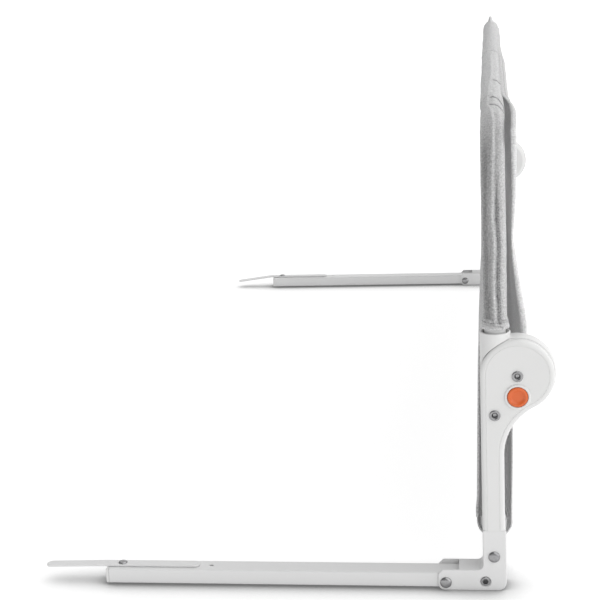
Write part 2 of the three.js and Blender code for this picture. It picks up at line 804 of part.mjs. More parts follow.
// A flat bar with round ends, whose outer half droops
function tongue(droop) {
  const half = tongueLength / 2;
  const bottom = armTop + gap;
  const fall = (half - tongueBend) * Math.tan(THREE.MathUtils.degToRad(droop));
  const middleX = armStart + armWidth / 2;
  const side = new THREE.Shape();
  side.moveTo(tongueReach - half, bottom);
  side.lineTo(tongueReach + tongueBend, bottom);
  side.lineTo(tongueReach + half, bottom - fall);
  side.lineTo(tongueReach + half, bottom - fall + tongueThickness);
  side.lineTo(tongueReach + tongueBend, bottom + tongueThickness);
  side.lineTo(tongueReach - half, bottom + tongueThickness);
  side.closePath();
  const bar = across(side, middleX - tongueWidth / 2, middleX + tongueWidth / 2);
  const plan = roundedRectangle(tongueWidth, tongueLength, tongueWidth / 2, middleX, tongueReach);
  const top = bottom + tongueThickness + overrun;
  const outline = upright(plan, bottom - fall - overrun, top, 2 * cornerSteps);
  const hole = uprightRod(bottom - overrun, top, tongueRivetShank / 2 + turningClearance, middleX,
    tongueReach);
  return bar.intersect(outline).subtract(hole);
}

function tongueRivet() {
  const seat = armTop + 2 * gap + tongueThickness;
  const inside = armTop - armWall - gap;
  const shank = tongueRivetShank / 2;
  const tail = tongueRivetTail / 2;
  return turnedUpright([
    [inside - tongueRivetTailThickness, 0],
    [inside - tongueRivetTailThickness, tail],
    [inside, tail],
    [inside, shank],
    [seat, shank],
    ...dome(seat, tongueRivetHead / 2, tongueRivetRise, 1)
  ], armStart + armWidth / 2, tongueReach);
}

// The middle line of the U: up the left leg, round two bends and down the right leg
function upperPath(bottom) {
  const stations = [];
  const bend = tubeBendRadius;
  const station = (x, z, angle) => stations.push({
    middle: new THREE.Vector3(x, tubeY, z),
    forwards: new THREE.Vector3(Math.cos(angle), 0, Math.sin(angle))
  });
  bottom.forEach((z) => station(-legX, z, Math.PI / 2));
  for (let i = 0; i <= bendSteps; i++) {
    const turn = (Math.PI / 2) * (i / bendSteps);
    const z = topTubeHeight - bend + bend * Math.sin(turn);
    station(bend - legX - bend * Math.cos(turn), z, Math.PI / 2 - turn);
  }
  for (let i = bendSteps; i >= 0; i--) {
    const turn = (Math.PI / 2) * (i / bendSteps);
    const z = topTubeHeight - bend + bend * Math.sin(turn);
    station(legX - bend + bend * Math.cos(turn), z, turn - Math.PI / 2);
  }
  bottom.toReversed().forEach((z) => station(legX, z, -Math.PI / 2));
  return stations;
}

function ringAt({ middle, forwards }, radius, steps) {
  const side = new THREE.Vector3(0, 1, 0);
  const up = forwards.clone().cross(side);
  const ring = [];
  for (let j = 0; j < steps; j++) {
    const angle = (2 * Math.PI * j) / steps;
    const point = middle.clone().addScaledVector(side, radius * Math.cos(angle));
    ring.push(point.addScaledVector(up, radius * Math.sin(angle)));
  }
  return ring;
}

// A hollow bent tube; each radius list has one value for each station
function bentTube(stations, outside, inside, steps) {
  const outer = stations.map((station, i) => ringAt(station, outside[i], steps));
  const inner = stations.map((station, i) => ringAt(station, inside[i], steps));
  return skinned([...outer, ...inner.reverse()], true);
}

function upperTube() {
  const stations = upperPath([socketFloor + gap]);
  const outside = stations.map(() => tubeRadius);
  const inside = stations.map(() => tubeRadius - tubeWall);
  return bentTube(stations, outside, inside, tubeSteps);
}

function sleeve() {
  const hemTop = hemBottom + hemHeight;
  const heights = [hemBottom, hemBottom + hemHeight / 2, hemTop, hemTop + hemHeight / 2];
  const stations = upperPath(heights);
  const outside = stations.map(({ middle }) => sleeveRadius + (middle.z <= hemTop ? hemExtra : 0));
  const inside = stations.map(() => sleeveInside);
  return bentTube(stations, outside, inside, tubeSteps);
}

// A closed sheet of even thickness from rows of points on its middle surface
function sheet(rows) {
  const half = clothThickness / 2;
  const normalAt = (i, j) => {
    const before = rows[Math.max(i - 1, 0)][j];
    const after = rows[Math.min(i + 1, rows.length - 1)][j];
    const left = rows[i][Math.max(j - 1, 0)];
    const right = rows[i][Math.min(j + 1, rows[i].length - 1)];
    return after.clone().sub(before).cross(right.clone().sub(left)).normalize();
  };
  const side = (sign) => rows.map((row, i) =>
    row.map((point, j) => point.clone().addScaledVector(normalAt(i, j), sign * half))
  );
  const front = side(1);
  const back = side(-1);
  return skinned(front.map((row, i) => [...row, ...back[i].reverse()]), false);
}

// One soft fold's depth at a place along the rail, fading out at the ends
function foldAt(share) {
  const fade = Math.sqrt(Math.sin(Math.PI * share));
  return clothFoldDepth * fade * Math.sin(2 * Math.PI * clothFolds * share);
}

// A row of points along the rail at one height
function clothRow(y, z, halfLength) {
  const row = [];
  for (let j = 0; j <= plainColumns; j++) {
    row.push(new THREE.Vector3(mixed(-halfLength, halfLength, j / plainColumns), y, z));
  }
  return row;
}

// The walls' middle lines, as y for a height
const innerLine = innerClothInset - clothThickness / 2;
const sleeveLine = tubeY + sleeveRadius - clothThickness / 2;
const foldLine = clothThickness / 2 - outerClothFold;
const bulgeLine = clothThickness / 2 - outerClothBulge;
const waistLine = clothThickness / 2 - outerClothWaist;
const middleLine = clothThickness / 2 - outerClothMiddle;
const loopMiddleY = innerClothInset - loopRadius;
const loopMiddleZ = crossHeight - loopDrop;
const loopLineRadius = loopRadius - clothThickness / 2;

// The inner wall lies against the sleeve and follows the frame's corners
function innerPanel() {
  const reach = Math.sqrt(sleeveRadius ** 2 - (sleeveRadius - clothThickness) ** 2) + gap;
  const corner = tubeBendRadius - reach;
  const top = topTubeHeight - reach;
  const bottom = pivotHeight + foldGap;
  const wide = legX - reach;
  const rows = [];
  for (let i = 0; i <= clothRows; i++) {
    const z = mixed(bottom, top - corner, (i / clothRows) ** rowCrowding);
    const line = mixed(innerLine, sleeveLine, smooth(z, hemBottom - innerClothSettle, hemBottom));
    const halfLength = mixed(clothHalfLength, wide, smooth(z, hemBottom, hemBottom + settleHeight));
    rows.push(clothRow(line, z, halfLength));
  }
  for (let i = 1; i <= bendSteps; i++) {
    const turn = (Math.PI / 2) * (i / bendSteps);
    const z = top - corner + corner * Math.sin(turn);
    rows.push(clothRow(sleeveLine, z, wide - corner + corner * Math.cos(turn)));
  }
  return sheet(rows);
}

// How far a place along the rail has the flare of the edge nearest to it, and that edge's top line
function flareAt(share) {
  const fromEdge = 2 * clothHalfLength * Math.min(share, 1 - share);
  const edgeTop = share < 1 / 2 ? outerClothTops.left : outerClothTops.right;
  return {
    flare: 1 - smooth(fromEdge, 0, flareReach),
    sewn: smooth(fromEdge, freeEdgeStart, freeEdgeEnd),
    topLine: clothThickness / 2 - edgeTop
  };
}

// The outer wall flares over the hinges at its edges, and its top is sewn to the sleeve between them
function outerPanel() {
  const bottom = pivotHeight + foldGap;
  const seam = sleeveRadius + 2 * gap + clothThickness / 2;
  const landing = THREE.MathUtils.degToRad(seamAngle);
  const curlRows = bendSteps / 2;
  const rows = [];
  for (let i = 0; i <= clothRows + curlRows; i++) {
    const wall = Math.min(i / clothRows, 1) ** rowCrowding;
    const curled = Math.max(i - clothRows, 0) / curlRows;
    const z = mixed(bottom, topTubeHeight, wall);
    const freeZ = mixed(bottom, freeEdgeHeight, (i / (clothRows + curlRows)) ** rowCrowding);
    const row = [];
    for (let j = 0; j <= foldColumns; j++) {
      const share = j / foldColumns;
      const { flare, sewn, topLine } = flareAt(share);
      const height = mixed(freeZ, z, sewn);
      const bulge = mixed(foldLine, bulgeLine, smooth(height, bottom, bulgeHeight));
      const waist = mixed(bulge, waistLine, smooth(height, bulgeHeight, waistHeight));
      const edge = mixed(waist, topLine, smooth(height, waistHeight, flareHeight));
      const middle = mixed(foldLine, middleLine, smooth(height, bottom, flareHeight));
      const soft = foldAt(share) * smooth(height, bottom, bulgeHeight)
        * (1 - smooth(height, waistHeight, flareHeight));
      const line = mixed(middle, edge, flare) + soft;
      const turn = mixed(Math.PI, landing, curled * sewn);
      const reach = mixed(tubeY - line, seam, curled * sewn);
      const x = mixed(-clothHalfLength, clothHalfLength, share);
      row.push(new THREE.Vector3(x, tubeY + reach * Math.cos(turn), height + reach * Math.sin(turn)));
    }
    rows.push(row);
  }
  return sheet(rows);
}

// Below the fold line: down the inner wall, round the cross tube and up the outer wall
function lowerFabric() {
  const top = pivotHeight - foldGap;
  const outerLine = loopMiddleY - loopLineRadius;
  const rows = [];
  for (let i = 0; i <= clothRows / 2; i++) {
    rows.push(clothRow(innerLine, mixed(top, loopMiddleZ, i / (clothRows / 2)), clothHalfLength));
  }
  for (let i = 1; i < loopSteps; i++) {
    const turn = Math.PI * (i / loopSteps);
    const y = loopMiddleY + loopLineRadius * Math.cos(turn);
    rows.push(clothRow(y, loopMiddleZ - loopLineRadius * Math.sin(turn), clothHalfLength));
  }
  for (let i = 0; i <= clothRows; i++) {
    const z = mixed(loopMiddleZ, top, i / clothRows);
    const line = mixed(outerLine, foldLine, smooth(z, top - settleHeight / 2, top));
    rows.push(clothRow(line, z, clothHalfLength));
  }
  return sheet(rows);
}

// The rail, moved so that its origin is at the middle of its box, on the floor
const rail = new THREE.Group();
rail.position.y = -boxMiddleY;

function place(name, body, material, x = 0, mirrored = false) {
  const mesh = new THREE.Mesh(geometryOf(body, mirrored), material());
  mesh.name = name;
  mesh.position.x = x;
  rail.add(mesh);
}

const endPieces = {
  corner_bracket: [cornerBracket, whiteSteel],
  post_core: [postCore, platedSteel],
  outer_cover: [outerCover, whitePlastic],
  inner_cover: [innerCover, whitePlastic],
  hinge_drum: [hingeDrum, whitePlastic],
  hinge_rivet: [() => hollowRivet(hingeDepth, -pivotOut, pivotHeight), platedSteel],
  cover_rivet: [() => hollowRivet(postDepth, coverRivetInset, coverRivetHeight), platedSteel],
  leg_rivet: [() => domedRivet(postMiddle, legRivetHeight), platedSteel],
  arm_rivet: [() => domedRivet(armPivotReach, armPivotHeight), platedSteel],
  bracket_screw: [bracketScrew, platedSteel],
  bracket_spacer: [bracketSpacer, platedSteel],
  release_button: [releaseButton, orangePlastic],
  lock_bolt: [lockBolt, platedSteel],
  button_spring: [buttonSpring, platedSteel],
  cross_socket: [crossSocket, greyPlastic],
  arm_tube: [armTube, whiteSteel],
  arm_plug: [armPlug, whitePlastic],
  tongue_rivet: [tongueRivet, platedSteel]
};

for (const [name, [make, material]] of Object.entries(endPieces)) {
  const body = make();
  place(`${name}_left`, body, material, -railLength / 2);
  place(`${name}_right`, body, material, railLength / 2, true);
}
place('tongue_left', tongue(tongueDroops.left), whiteSteel, -railLength / 2);
place('tongue_right', tongue(tongueDroops.right), whiteSteel, railLength / 2, true);
place('cross_tube', crossTube(), whiteSteel);
place('upper_tube', upperTube(), whiteSteel);
place('sleeve', sleeve(), greyFabric);
place('inner_panel', innerPanel(), greyFabric);
place('outer_panel', outerPanel(), greyFabric);
place('lower_fabric', lowerFabric(), greyFabric);

export default rail;
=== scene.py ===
"""The looks of the folding bed guard rail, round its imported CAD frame.

Sizes are in millimetres, as in the CAD source. Each end is drawn once in end coordinates: depth
inwards from the end face, y from the post's outer face towards the bed, and z. The right end is the
left one mirrored.
"""

import json
import math

import bmesh
import bpy
import numpy as np
from mathutils import Matrix, Vector

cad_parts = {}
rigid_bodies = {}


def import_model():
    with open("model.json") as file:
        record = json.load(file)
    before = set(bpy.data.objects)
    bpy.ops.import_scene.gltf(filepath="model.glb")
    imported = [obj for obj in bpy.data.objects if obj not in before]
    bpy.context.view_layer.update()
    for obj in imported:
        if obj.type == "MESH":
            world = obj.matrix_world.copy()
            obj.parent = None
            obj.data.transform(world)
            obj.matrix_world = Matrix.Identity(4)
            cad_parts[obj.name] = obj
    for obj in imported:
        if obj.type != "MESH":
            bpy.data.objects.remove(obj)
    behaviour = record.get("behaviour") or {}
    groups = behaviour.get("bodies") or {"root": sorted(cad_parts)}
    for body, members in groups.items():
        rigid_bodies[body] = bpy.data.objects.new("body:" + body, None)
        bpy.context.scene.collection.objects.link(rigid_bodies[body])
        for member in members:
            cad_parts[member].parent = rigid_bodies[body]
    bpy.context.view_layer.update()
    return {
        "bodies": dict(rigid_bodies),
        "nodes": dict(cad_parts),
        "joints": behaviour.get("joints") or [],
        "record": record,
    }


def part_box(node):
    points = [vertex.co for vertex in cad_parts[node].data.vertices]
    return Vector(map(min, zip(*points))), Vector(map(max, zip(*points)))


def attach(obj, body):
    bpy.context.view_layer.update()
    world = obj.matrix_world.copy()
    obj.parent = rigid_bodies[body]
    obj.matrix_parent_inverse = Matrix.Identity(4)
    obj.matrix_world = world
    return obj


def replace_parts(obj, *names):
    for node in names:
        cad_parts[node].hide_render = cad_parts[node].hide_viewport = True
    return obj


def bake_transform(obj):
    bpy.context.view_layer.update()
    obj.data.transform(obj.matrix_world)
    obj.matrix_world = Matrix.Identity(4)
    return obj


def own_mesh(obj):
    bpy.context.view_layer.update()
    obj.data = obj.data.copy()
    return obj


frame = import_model()
JOINTS = {joint["name"]: joint for joint in frame["joints"]}
SLOTS = {row["node"]: row["material_slot"] for row in frame["record"]["subparts"]}
SIGNS = {"left": -1, "right": 1}
MM = 0.001
QUARTER = math.pi / 2

# Camera, from the photograph's three vanishing points, in metres
CAMERA_PLACE = Vector((-1.888, -0.1985, 0.641))
CAMERA_FORWARD = Vector((0.9569, 0.1333, -0.2580))
CAMERA_UP = Vector((0.2621, -0.0138, 0.9649))
CAMERA_LENS = 86.8
CAMERA_SENSOR = 36.0

# Places from the frame
PIVOT_OUT = 13.0
PIVOT_Z = JOINTS["rail_fold"]["pos_m"][2] / MM
PIVOT = Vector((0, -PIVOT_OUT, PIVOT_Z))
FACE_Y = JOINTS["rail_fold"]["pos_m"][1] / MM + PIVOT_OUT
END_X = -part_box("corner_bracket_left")[0].x / MM


def span(node):
    """A left-end node's lowest and highest depth, y and z."""
    shift = Vector((END_X, -FACE_Y, 0))
    low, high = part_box(node)
    return low / MM + shift, high / MM + shift


def middle(node):
    low, high = span(node)
    return (low + high) / 2


def round_of(node):
    """A round left-end node's start and end in depth, its middle and its radius."""
    low, high = span(node)
    return low.x, high.x, middle(node), (high.z - low.z) / 2


# Covers, as in the CAD source
GAP = 0.3
OVERRUN = 1.0
HEAD_RADIUS = 34.5
FLARE_RADIUS = 54.0
COVER_PLATE = 8.0
COVER_EDGE = (4.2, 3.0)
BACK_RIM_STEP = 3.5
DRUM_RADIUS = 36.0
DRUM_ROOM = 0.6
DRUM_EDGE = (0.8, 0.8)
DRUM_FRONT = (1.5, 4.5)
CUT_REACH = 10.0
POST_WIDTH = HEAD_RADIUS - PIVOT_OUT
COVER_BOTTOM = span("outer_cover_left")[0].z
POST_DEPTH = span("corner_bracket_left")[1].x
HINGE_DEPTH = span("inner_cover_left")[1].x
COVER_SPLIT = POST_DEPTH / 2

# Release button and its collar
BUTTON = middle("release_button_left")
BUTTON_RADIUS = 9.6
BUTTON_BORE = BUTTON_RADIUS + 0.3
BUTTON_FLANGE = 11.1
FLANGE_DEPTHS = (2.9, 4.1)
BUTTON_LIP = 2.6
COLLAR_RADIUS = 12.1
COLLAR_PROUD = 1.5
COLLAR_EDGE = (0.9, 0.9)
BORE_FLARE = (1.4, 0.4)

# Hinge boss and the upper frame tube
TUBE_Y = 7.0
TUBE_RADIUS = 10.0
TUBE_WALL = 1.2
TUBE_BEND = 60.0
BOSS_RADIUS = 14.25
BOSS_CLEARANCE = 0.5
BOSS_TOP = 257.6
SOCKET_DEPTH = 9.5
MOUTH_RADIUS = 12.3
MOUTH_DEPTH = 4.0
MOUTH_EDGE = 0.5
SLEEVE_RADIUS = 11.1
TOP_Z = span("sleeve")[1].z - SLEEVE_RADIUS
LEG_DEPTH = middle("hinge_drum_left").x
LEG = Vector((LEG_DEPTH, TUBE_Y, 0))
DRUM_START = COVER_PLATE + GAP
DRUM_END = 2 * LEG_DEPTH - DRUM_START

# Lock bolt, its slot and pocket, and its spring
SLOT_CLEARANCE = 0.5
SPRING_WIRE = 0.9
SPRING_TURNS = 4
BOLT = middle("lock_bolt_left")
BOLT_ROOM = span("lock_bolt_left")[1].z - BOLT.z + SLOT_CLEARANCE
SPRING_START = span("button_spring_left")[0].x
SPRING_END = span("button_spring_left")[1].x
FOLD_LIMIT = math.radians(JOINTS["rail_fold"]["range_deg"][1])

# Smoothness
ROUND_STEPS = 64
TUBE_STEPS = 72
HEAD_STEPS = 144
SPRING_STEPS = 24
WIRE_SIDES = 10
ARC_STEP = math.radians(3)
BEVEL_STEPS = 4
SHARP_ANGLE = math.radians(32)


# Geometry: a pair of a point array and a list of faces
def skin(rings, closed=False):
    """Joins rings of equally many points; the ends are capped, or joined to each other when closed."""
    count = len(rings[0])
    points = np.concatenate([np.asarray(ring, float) for ring in rings])
    faces = []
    for i in range(len(rings) if closed else len(rings) - 1):
        k = (i + 1) % len(rings)
        for j in range(count):
            n = (j + 1) % count
            faces.append((i * count + j, i * count + n, k * count + n, k * count + j))
    if not closed:
        faces.append(tuple(range(count)))
        faces.append(tuple(range(len(points) - count, len(points))))
    return points, faces


def turned(profile, place, steps=ROUND_STEPS):
    """A round piece about a line along the depth; profile is a list of (depth, radius)."""
    angles = np.linspace(0, 2 * math.pi, steps, endpoint=False)
    across, up = np.cos(angles), np.sin(angles)
    rings = [(np.full(steps, s), place.y + r * across, place.z + r * up) for s, r in profile]
    return skin([np.column_stack(ring) for ring in rings])


def turned_upright(profile, place, steps=ROUND_STEPS):
    """A round piece about an upright line; profile is a list of (z, radius)."""
    angles = np.linspace(0, 2 * math.pi, steps, endpoint=False)
    along, across = np.cos(angles), np.sin(angles)
    rings = [(place.x + r * along, place.y + r * across, np.full(steps, z)) for z, r in profile]
    return skin([np.column_stack(ring) for ring in rings])


def edge_rounding(width=0.0, depth=0.0):
    """Pairs of inset and depth round a quarter of an edge, from its face to its side."""
    angles = np.linspace(0, QUARTER, BEVEL_STEPS + 1 if width else 1)
    return [(width * (1 - math.sin(a)), depth * (1 - math.cos(a))) for a in angles]


def barrel(start, end, radius, front=(), back=()):
    """A round piece's profile; front and back are the width and depth of its rounded edges."""
    points = [(start, 0)] + [(start + d, radius - inset) for inset, d in edge_rounding(*front)]
    points += [(end - d, radius - inset) for inset, d in reversed(edge_rounding(*back))]
    return points + [(end, 0)]


def rod(start, end, radius, place, steps=ROUND_STEPS):
    return turned(barrel(start, end, radius), place, steps)


def slab(points, depths):
    """An outline of (y, z) points drawn from one depth to another."""
    return skin([[(s, y, z) for y, z in points] for s in depths])


def block(depths, ys, zs):
    return slab([(ys[0], zs[0]), (ys[1], zs[0]), (ys[1], zs[1]), (ys[0], zs[1])], depths)


def arc(y, z, radius, start, end):
    """Points of an arc from one angle to another, in (y, z)."""
    steps = max(int(abs(end - start) / ARC_STEP), 1)
    angles = np.linspace(start, end, steps + 1)
    return [(y + radius * math.cos(a), z + radius * math.sin(a)) for a in angles]


def prism(outline, start, end, front=((0, 0),), back=((0, 0),)):
    """outline(inset) drawn across the depth from start to end; each edge is a list of inset and depth."""
    stations = [(inset, start + depth) for inset, depth in front]
    stations += [(inset, end - depth) for inset, depth in reversed(back)]
    return skin([[(s, y, z) for y, z in outline(inset)] for inset, s in stations])


def mended(mesh, reach=0.0):
    """The mesh with its faces turned outwards, and points joined that lie within reach of each other."""
    form = bmesh.new()
    form.from_mesh(mesh)
    if reach:
        bmesh.ops.remove_doubles(form, verts=form.verts, dist=reach)
    bmesh.ops.recalc_face_normals(form, faces=form.faces)
    form.to_mesh(mesh)
    form.free()
    return mesh


def mesh_of(shape):
    mesh = bpy.data.meshes.new("shape")
    mesh.from_pydata(shape[0].tolist(), [], shape[1])
    return mended(mesh, 1e-4)


def shape_of(mesh):
    """A mesh's points and faces, to carve it again."""
    points = np.array([vertex.co[:] for vertex in mesh.vertices])
    return points, [tuple(face.vertices) for face in mesh.polygons]


def linked(name, data):
    thing = bpy.data.objects.new(name, data)
    bpy.context.scene.collection.objects.link(thing)
    return thing


def carved(base, joins=(), cuts=()):
    """The mesh of base with the joins added and then the cuts taken out."""
    body = linked("carved", mesh_of(base))
    helpers = []
    for operation, shapes in (("UNION", joins), ("DIFFERENCE", cuts)):
        for shape in shapes:
            helper = linked("helper", mesh_of(shape))
            helpers.append(helper)
            modifier = body.modifiers.new("carve", "BOOLEAN")
            modifier.operation = operation
            modifier.solver = "EXACT"
            modifier.object = helper
    bpy.context.view_layer.update()
    graph = bpy.context.evaluated_depsgraph_get()
    mesh = bpy.data.meshes.new_from_object(body.evaluated_get(graph))
    for thing in [body, *helpers]:
        bpy.data.objects.remove(thing)
    return mesh


def mixed(a, b, share):
    return a + (b - a) * share


def smooth(value, low, high):
    """Rises from 0 to 1 between low and high, level at both."""
    share = np.clip((np.asarray(value, float) - low) / (high - low), 0, 1)
    return share * share * (3 - 2 * share)


def within(value, rise, fall):
    """1 between a rise and a later fall, each a pair of places, and 0 outside them."""
    return smooth(value, *rise) * (1 - smooth(value, *fall))


# Covers
FLARE_DROP = math.sqrt((HEAD_RADIUS + FLARE_RADIUS) ** 2 - (FLARE_RADIUS - PIVOT_OUT) ** 2)
FLARE_ANGLE = math.atan2(FLARE_DROP, FLARE_RADIUS - PIVOT_OUT)
# The groove's inset past the face's rounding, and its depth
GROOVE = ((1.1, 0), (0.9, 0.35), (0.5, 0.35), (0.3, 0.02))
RIVET_SEAT = 0.8


def cover_outline(inset):
    """The covers' P: a round head, a hollow flare and a straight stem."""
    points = [(inset, COVER_BOTTOM - CUT_REACH), (POST_WIDTH - inset, COVER_BOTTOM - CUT_REACH)]
    points += arc(-PIVOT_OUT, PIVOT_Z, HEAD_RADIUS - inset, 0, math.pi + FLARE_ANGLE)
    points += arc(-FLARE_RADIUS, PIVOT_Z - FLARE_DROP, FLARE_RADIUS + inset, FLARE_ANGLE, 0)[1:]
    return points


def drum_room():
    return rod(DRUM_START - GAP, DRUM_END + GAP, DRUM_RADIUS + DRUM_ROOM, PIVOT, HEAD_STEPS)


def below_covers():
    heights = (COVER_BOTTOM - 2 * CUT_REACH, COVER_BOTTOM)
    return block((-OVERRUN, HINGE_DEPTH), (-OVERRUN, POST_WIDTH + OVERRUN), heights)


def rivet_hole(node):
    """Room in the outer cover for a hollow rivet's mouth."""
    _, _, place, radius = round_of(node)
    return rod(-OVERRUN, COVER_PLATE - OVERRUN, radius - RIVET_SEAT, place)


def outer_cover():
    """The end's face: a broad rounding with a fine groove inside it, and a collar round the button."""
    groove = [(COVER_EDGE[0] + inset, depth) for inset, depth in GROOVE]
    whole = prism(cover_outline, 0, COVER_SPLIT - GAP / 2, groove + edge_rounding(*COVER_EDGE))
    collar = turned(barrel(-COLLAR_PROUD, OVERRUN, COLLAR_RADIUS, front=COLLAR_EDGE), BUTTON)
    front = -COLLAR_PROUD - OVERRUN
    back = COVER_PLATE + OVERRUN
    flare, fall = BORE_FLARE
    bore = turned([(front, 0), (front, BUTTON_BORE + flare), (-COLLAR_PROUD + fall, BUTTON_BORE),
                   (back, BUTTON_BORE), (back, 0)], BUTTON)
    flange_room = rod(BUTTON_LIP, back, BUTTON_FLANGE + GAP, BUTTON)
    holes = [rivet_hole(node) for node in ("hinge_rivet_left", "cover_rivet_left")]
    return carved(whole, joins=[collar], cuts=[drum_room(), bore, flange_room, below_covers(), *holes])


def inner_cover():
    whole = prism(cover_outline, COVER_SPLIT + GAP / 2, POST_DEPTH, back=edge_rounding(*COVER_EDGE))
    radius = HEAD_RADIUS - BACK_RIM_STEP
    raised = turned(barrel(DRUM_END + GAP, HINGE_DEPTH, radius, back=DRUM_EDGE), PIVOT, HEAD_STEPS)
    pocket = rod(DRUM_END - OVERRUN, SPRING_END + GAP, BOLT_ROOM, BOLT)
    return carved(whole, joins=[raised], cuts=[drum_room(), pocket, below_covers()])


# Drum, and the spring behind the lock bolt
def bolt_slot():
    """The drum's slot, in which the bolt stays as the drum turns."""
    drop = PIVOT_Z - BOLT.z
    rest = -QUARTER
    folded = rest - FOLD_LIMIT
    end_y = drop * math.cos(folded) - PIVOT_OUT
    end_z = drop * math.sin(folded) + PIVOT_Z
    points = arc(-PIVOT_OUT, PIVOT_Z, drop + BOLT_ROOM, folded, rest)
    points += arc(BOLT.y, BOLT.z, BOLT_ROOM, rest, rest + math.pi)[1:]
    points += arc(-PIVOT_OUT, PIVOT_Z, drop - BOLT_ROOM, rest, folded)[1:]
    points += arc(end_y, end_z, BOLT_ROOM, folded + math.pi, folded + 2 * math.pi)[1:-1]
    return slab(points, (DRUM_START - OVERRUN, DRUM_END + OVERRUN))


def hinge_drum():
    """The disc between the covers, with the boss that takes the upper tube."""
    disc = turned(barrel(DRUM_START, DRUM_END, DRUM_RADIUS, DRUM_FRONT, DRUM_EDGE), PIVOT, HEAD_STEPS)
    boss = turned_upright(barrel(PIVOT_Z, BOSS_TOP, BOSS_RADIUS, back=DRUM_EDGE), LEG)
    heads = rod(-OVERRUN, HINGE_DEPTH + OVERRUN, HEAD_RADIUS + BOSS_CLEARANCE, PIVOT, HEAD_STEPS)
    boss = carved(boss, cuts=[heads])
    flat = block((0, HINGE_DEPTH), (POST_WIDTH, POST_WIDTH + DRUM_RADIUS), (0, BOSS_TOP + OVERRUN))
    floor = BOSS_TOP - SOCKET_DEPTH
    ledge = BOSS_TOP - MOUTH_DEPTH
    radius = TUBE_RADIUS + GAP
    socket = turned_upright([(floor, 0), (floor, radius), (ledge, radius), (ledge, MOUTH_RADIUS),
                             (BOSS_TOP - MOUTH_EDGE, MOUTH_RADIUS),
                             (BOSS_TOP + MOUTH_EDGE, MOUTH_RADIUS + 2 * MOUTH_EDGE),
                             (BOSS_TOP + OVERRUN, 0)], LEG)
    return carved(disc, joins=[shape_of(boss)], cuts=[flat, socket, bolt_slot()])


def button_spring():
    """One unbroken coil behind the bolt."""
    wire = SPRING_WIRE / 2
    radius = span("button_spring_left")[1].z - BOLT.z - wire
    sides = np.linspace(0, 2 * math.pi, WIRE_SIDES, endpoint=False)
    rings = []
    for share in np.linspace(0, 1, SPRING_TURNS * SPRING_STEPS + 1):
        turn = 2 * math.pi * SPRING_TURNS * share
        depth = mixed(SPRING_START + wire, SPRING_END - wire, share) + wire * np.sin(sides)
        out = radius + wire * np.cos(sides)
        rings.append(np.column_stack([depth, BOLT.y + out * math.cos(turn), BOLT.z + out * math.sin(turn)]))
    return mesh_of(skin(rings))


# Fasteners: profiles as depths from the front, or from the end for the nut, and radii, which count from
# the mouth for the cup's side, from the head for the screw and from the button's own for its side
RIVET_MOUTH = 0.52
RIVET_RISE = 0.9
RIVET_CUP = 3.6
CUP_SIDE = ((2.9, -1.1), (RIVET_RISE, -0.1))
RIVET_EDGE = 0.15
SCREW_HEAD = ((0, -0.5), (0.5, 0), (0.9, 0), (2, -1.6))
SCREW_NUT = ((1.8, -1.6), (1.8, 0), (0.6, 0), (0, -0.9))
SCREW_SOCKET = (6.0, 3.0)
BUTTON_DISH = ((1.9, 0), (1.85, 4.4), (1.6, 5.4), (0.6, 6.5))
BUTTON_RIM = (0.4, 8.0, 1.05)
BUTTON_SIDE = ((0.9, -0.15), (1.4, 0))
PIN_HEAD = 4.5
PIN_RISE = 1.6
PIN_RADIUS = 2.2


def lip(start, rise, radius, half_width, steps):
    """The profile of a rounded rim, from its inner to its outer foot."""
    turns = np.linspace(math.pi, 0, steps)
    return [(start + rise * (1 - math.sin(a)), radius + half_width * math.cos(a)) for a in turns]


def double_ended(front, node):
    """A rivet with the same head at both ends, from the profile of its front half."""
    start, end, place, _ = round_of(node)
    back = [(start + end - s, r) for s, r in reversed(front)]
    return mesh_of(turned(front + back, place))


def hollow_rivet(node):
    """A rolled lip round a cup, at both ends."""
    start, _, _, head = round_of(node)
    mouth = RIVET_MOUTH * head
    front = [(start + RIVET_CUP, 0)] + [(start + s, mouth + r) for s, r in CUP_SIDE]
    front += lip(start, RIVET_RISE, (head + mouth) / 2, (head - mouth) / 2, 11)
    return double_ended(front + [(-GAP, head - RIVET_EDGE)], node)


def domed_rivet(node):
    start, _, _, head = round_of(node)
    rise = -GAP - start
    turns = np.linspace(0, QUARTER, 12)
    return double_ended([(start + rise * (1 - math.cos(a)), head * math.sin(a)) for a in turns], node)


def bracket_screw():
    """A head with a six-sided socket, a shank and a nut."""
    start, end, place, head = round_of("bracket_screw_left")
    profile = [(start, 0)] + [(start + s, head + r) for s, r in SCREW_HEAD]
    profile += [(end - s, head + r) for s, r in SCREW_NUT] + [(end, 0)]
    socket = rod(-2 * OVERRUN, start + SCREW_SOCKET[0], SCREW_SOCKET[1], place, 6)
    return carved(turned(profile, place), cuts=[socket])


def release_button():
    """A dish inside a rounded rim, and the flange behind the cover's lip."""
    start, _, place, _ = round_of("release_button_left")
    flange, back = FLANGE_DEPTHS
    profile = [(start + s, r) for s, r in BUTTON_DISH] + lip(start, *BUTTON_RIM, 9)
    profile += [(start + s, BUTTON_RADIUS + r) for s, r in BUTTON_SIDE]
    profile += [(flange, BUTTON_RADIUS), (flange, BUTTON_FLANGE), (back, BUTTON_FLANGE), (back, 0)]
    return mesh_of(turned(profile, place))


def tongue_rivet():
    low, high = span("tongue_rivet_left")
    seat = high.z - PIN_RISE
    dome = [(seat + PIN_RISE * math.sin(a), PIN_HEAD * math.cos(a)) for a in np.linspace(0, QUARTER, 10)]
    profile = [(low.z, 0), (low.z, PIN_RADIUS), (seat, PIN_RADIUS)] + dome
    return mesh_of(turned_upright(profile, middle("tongue_rivet_left")))


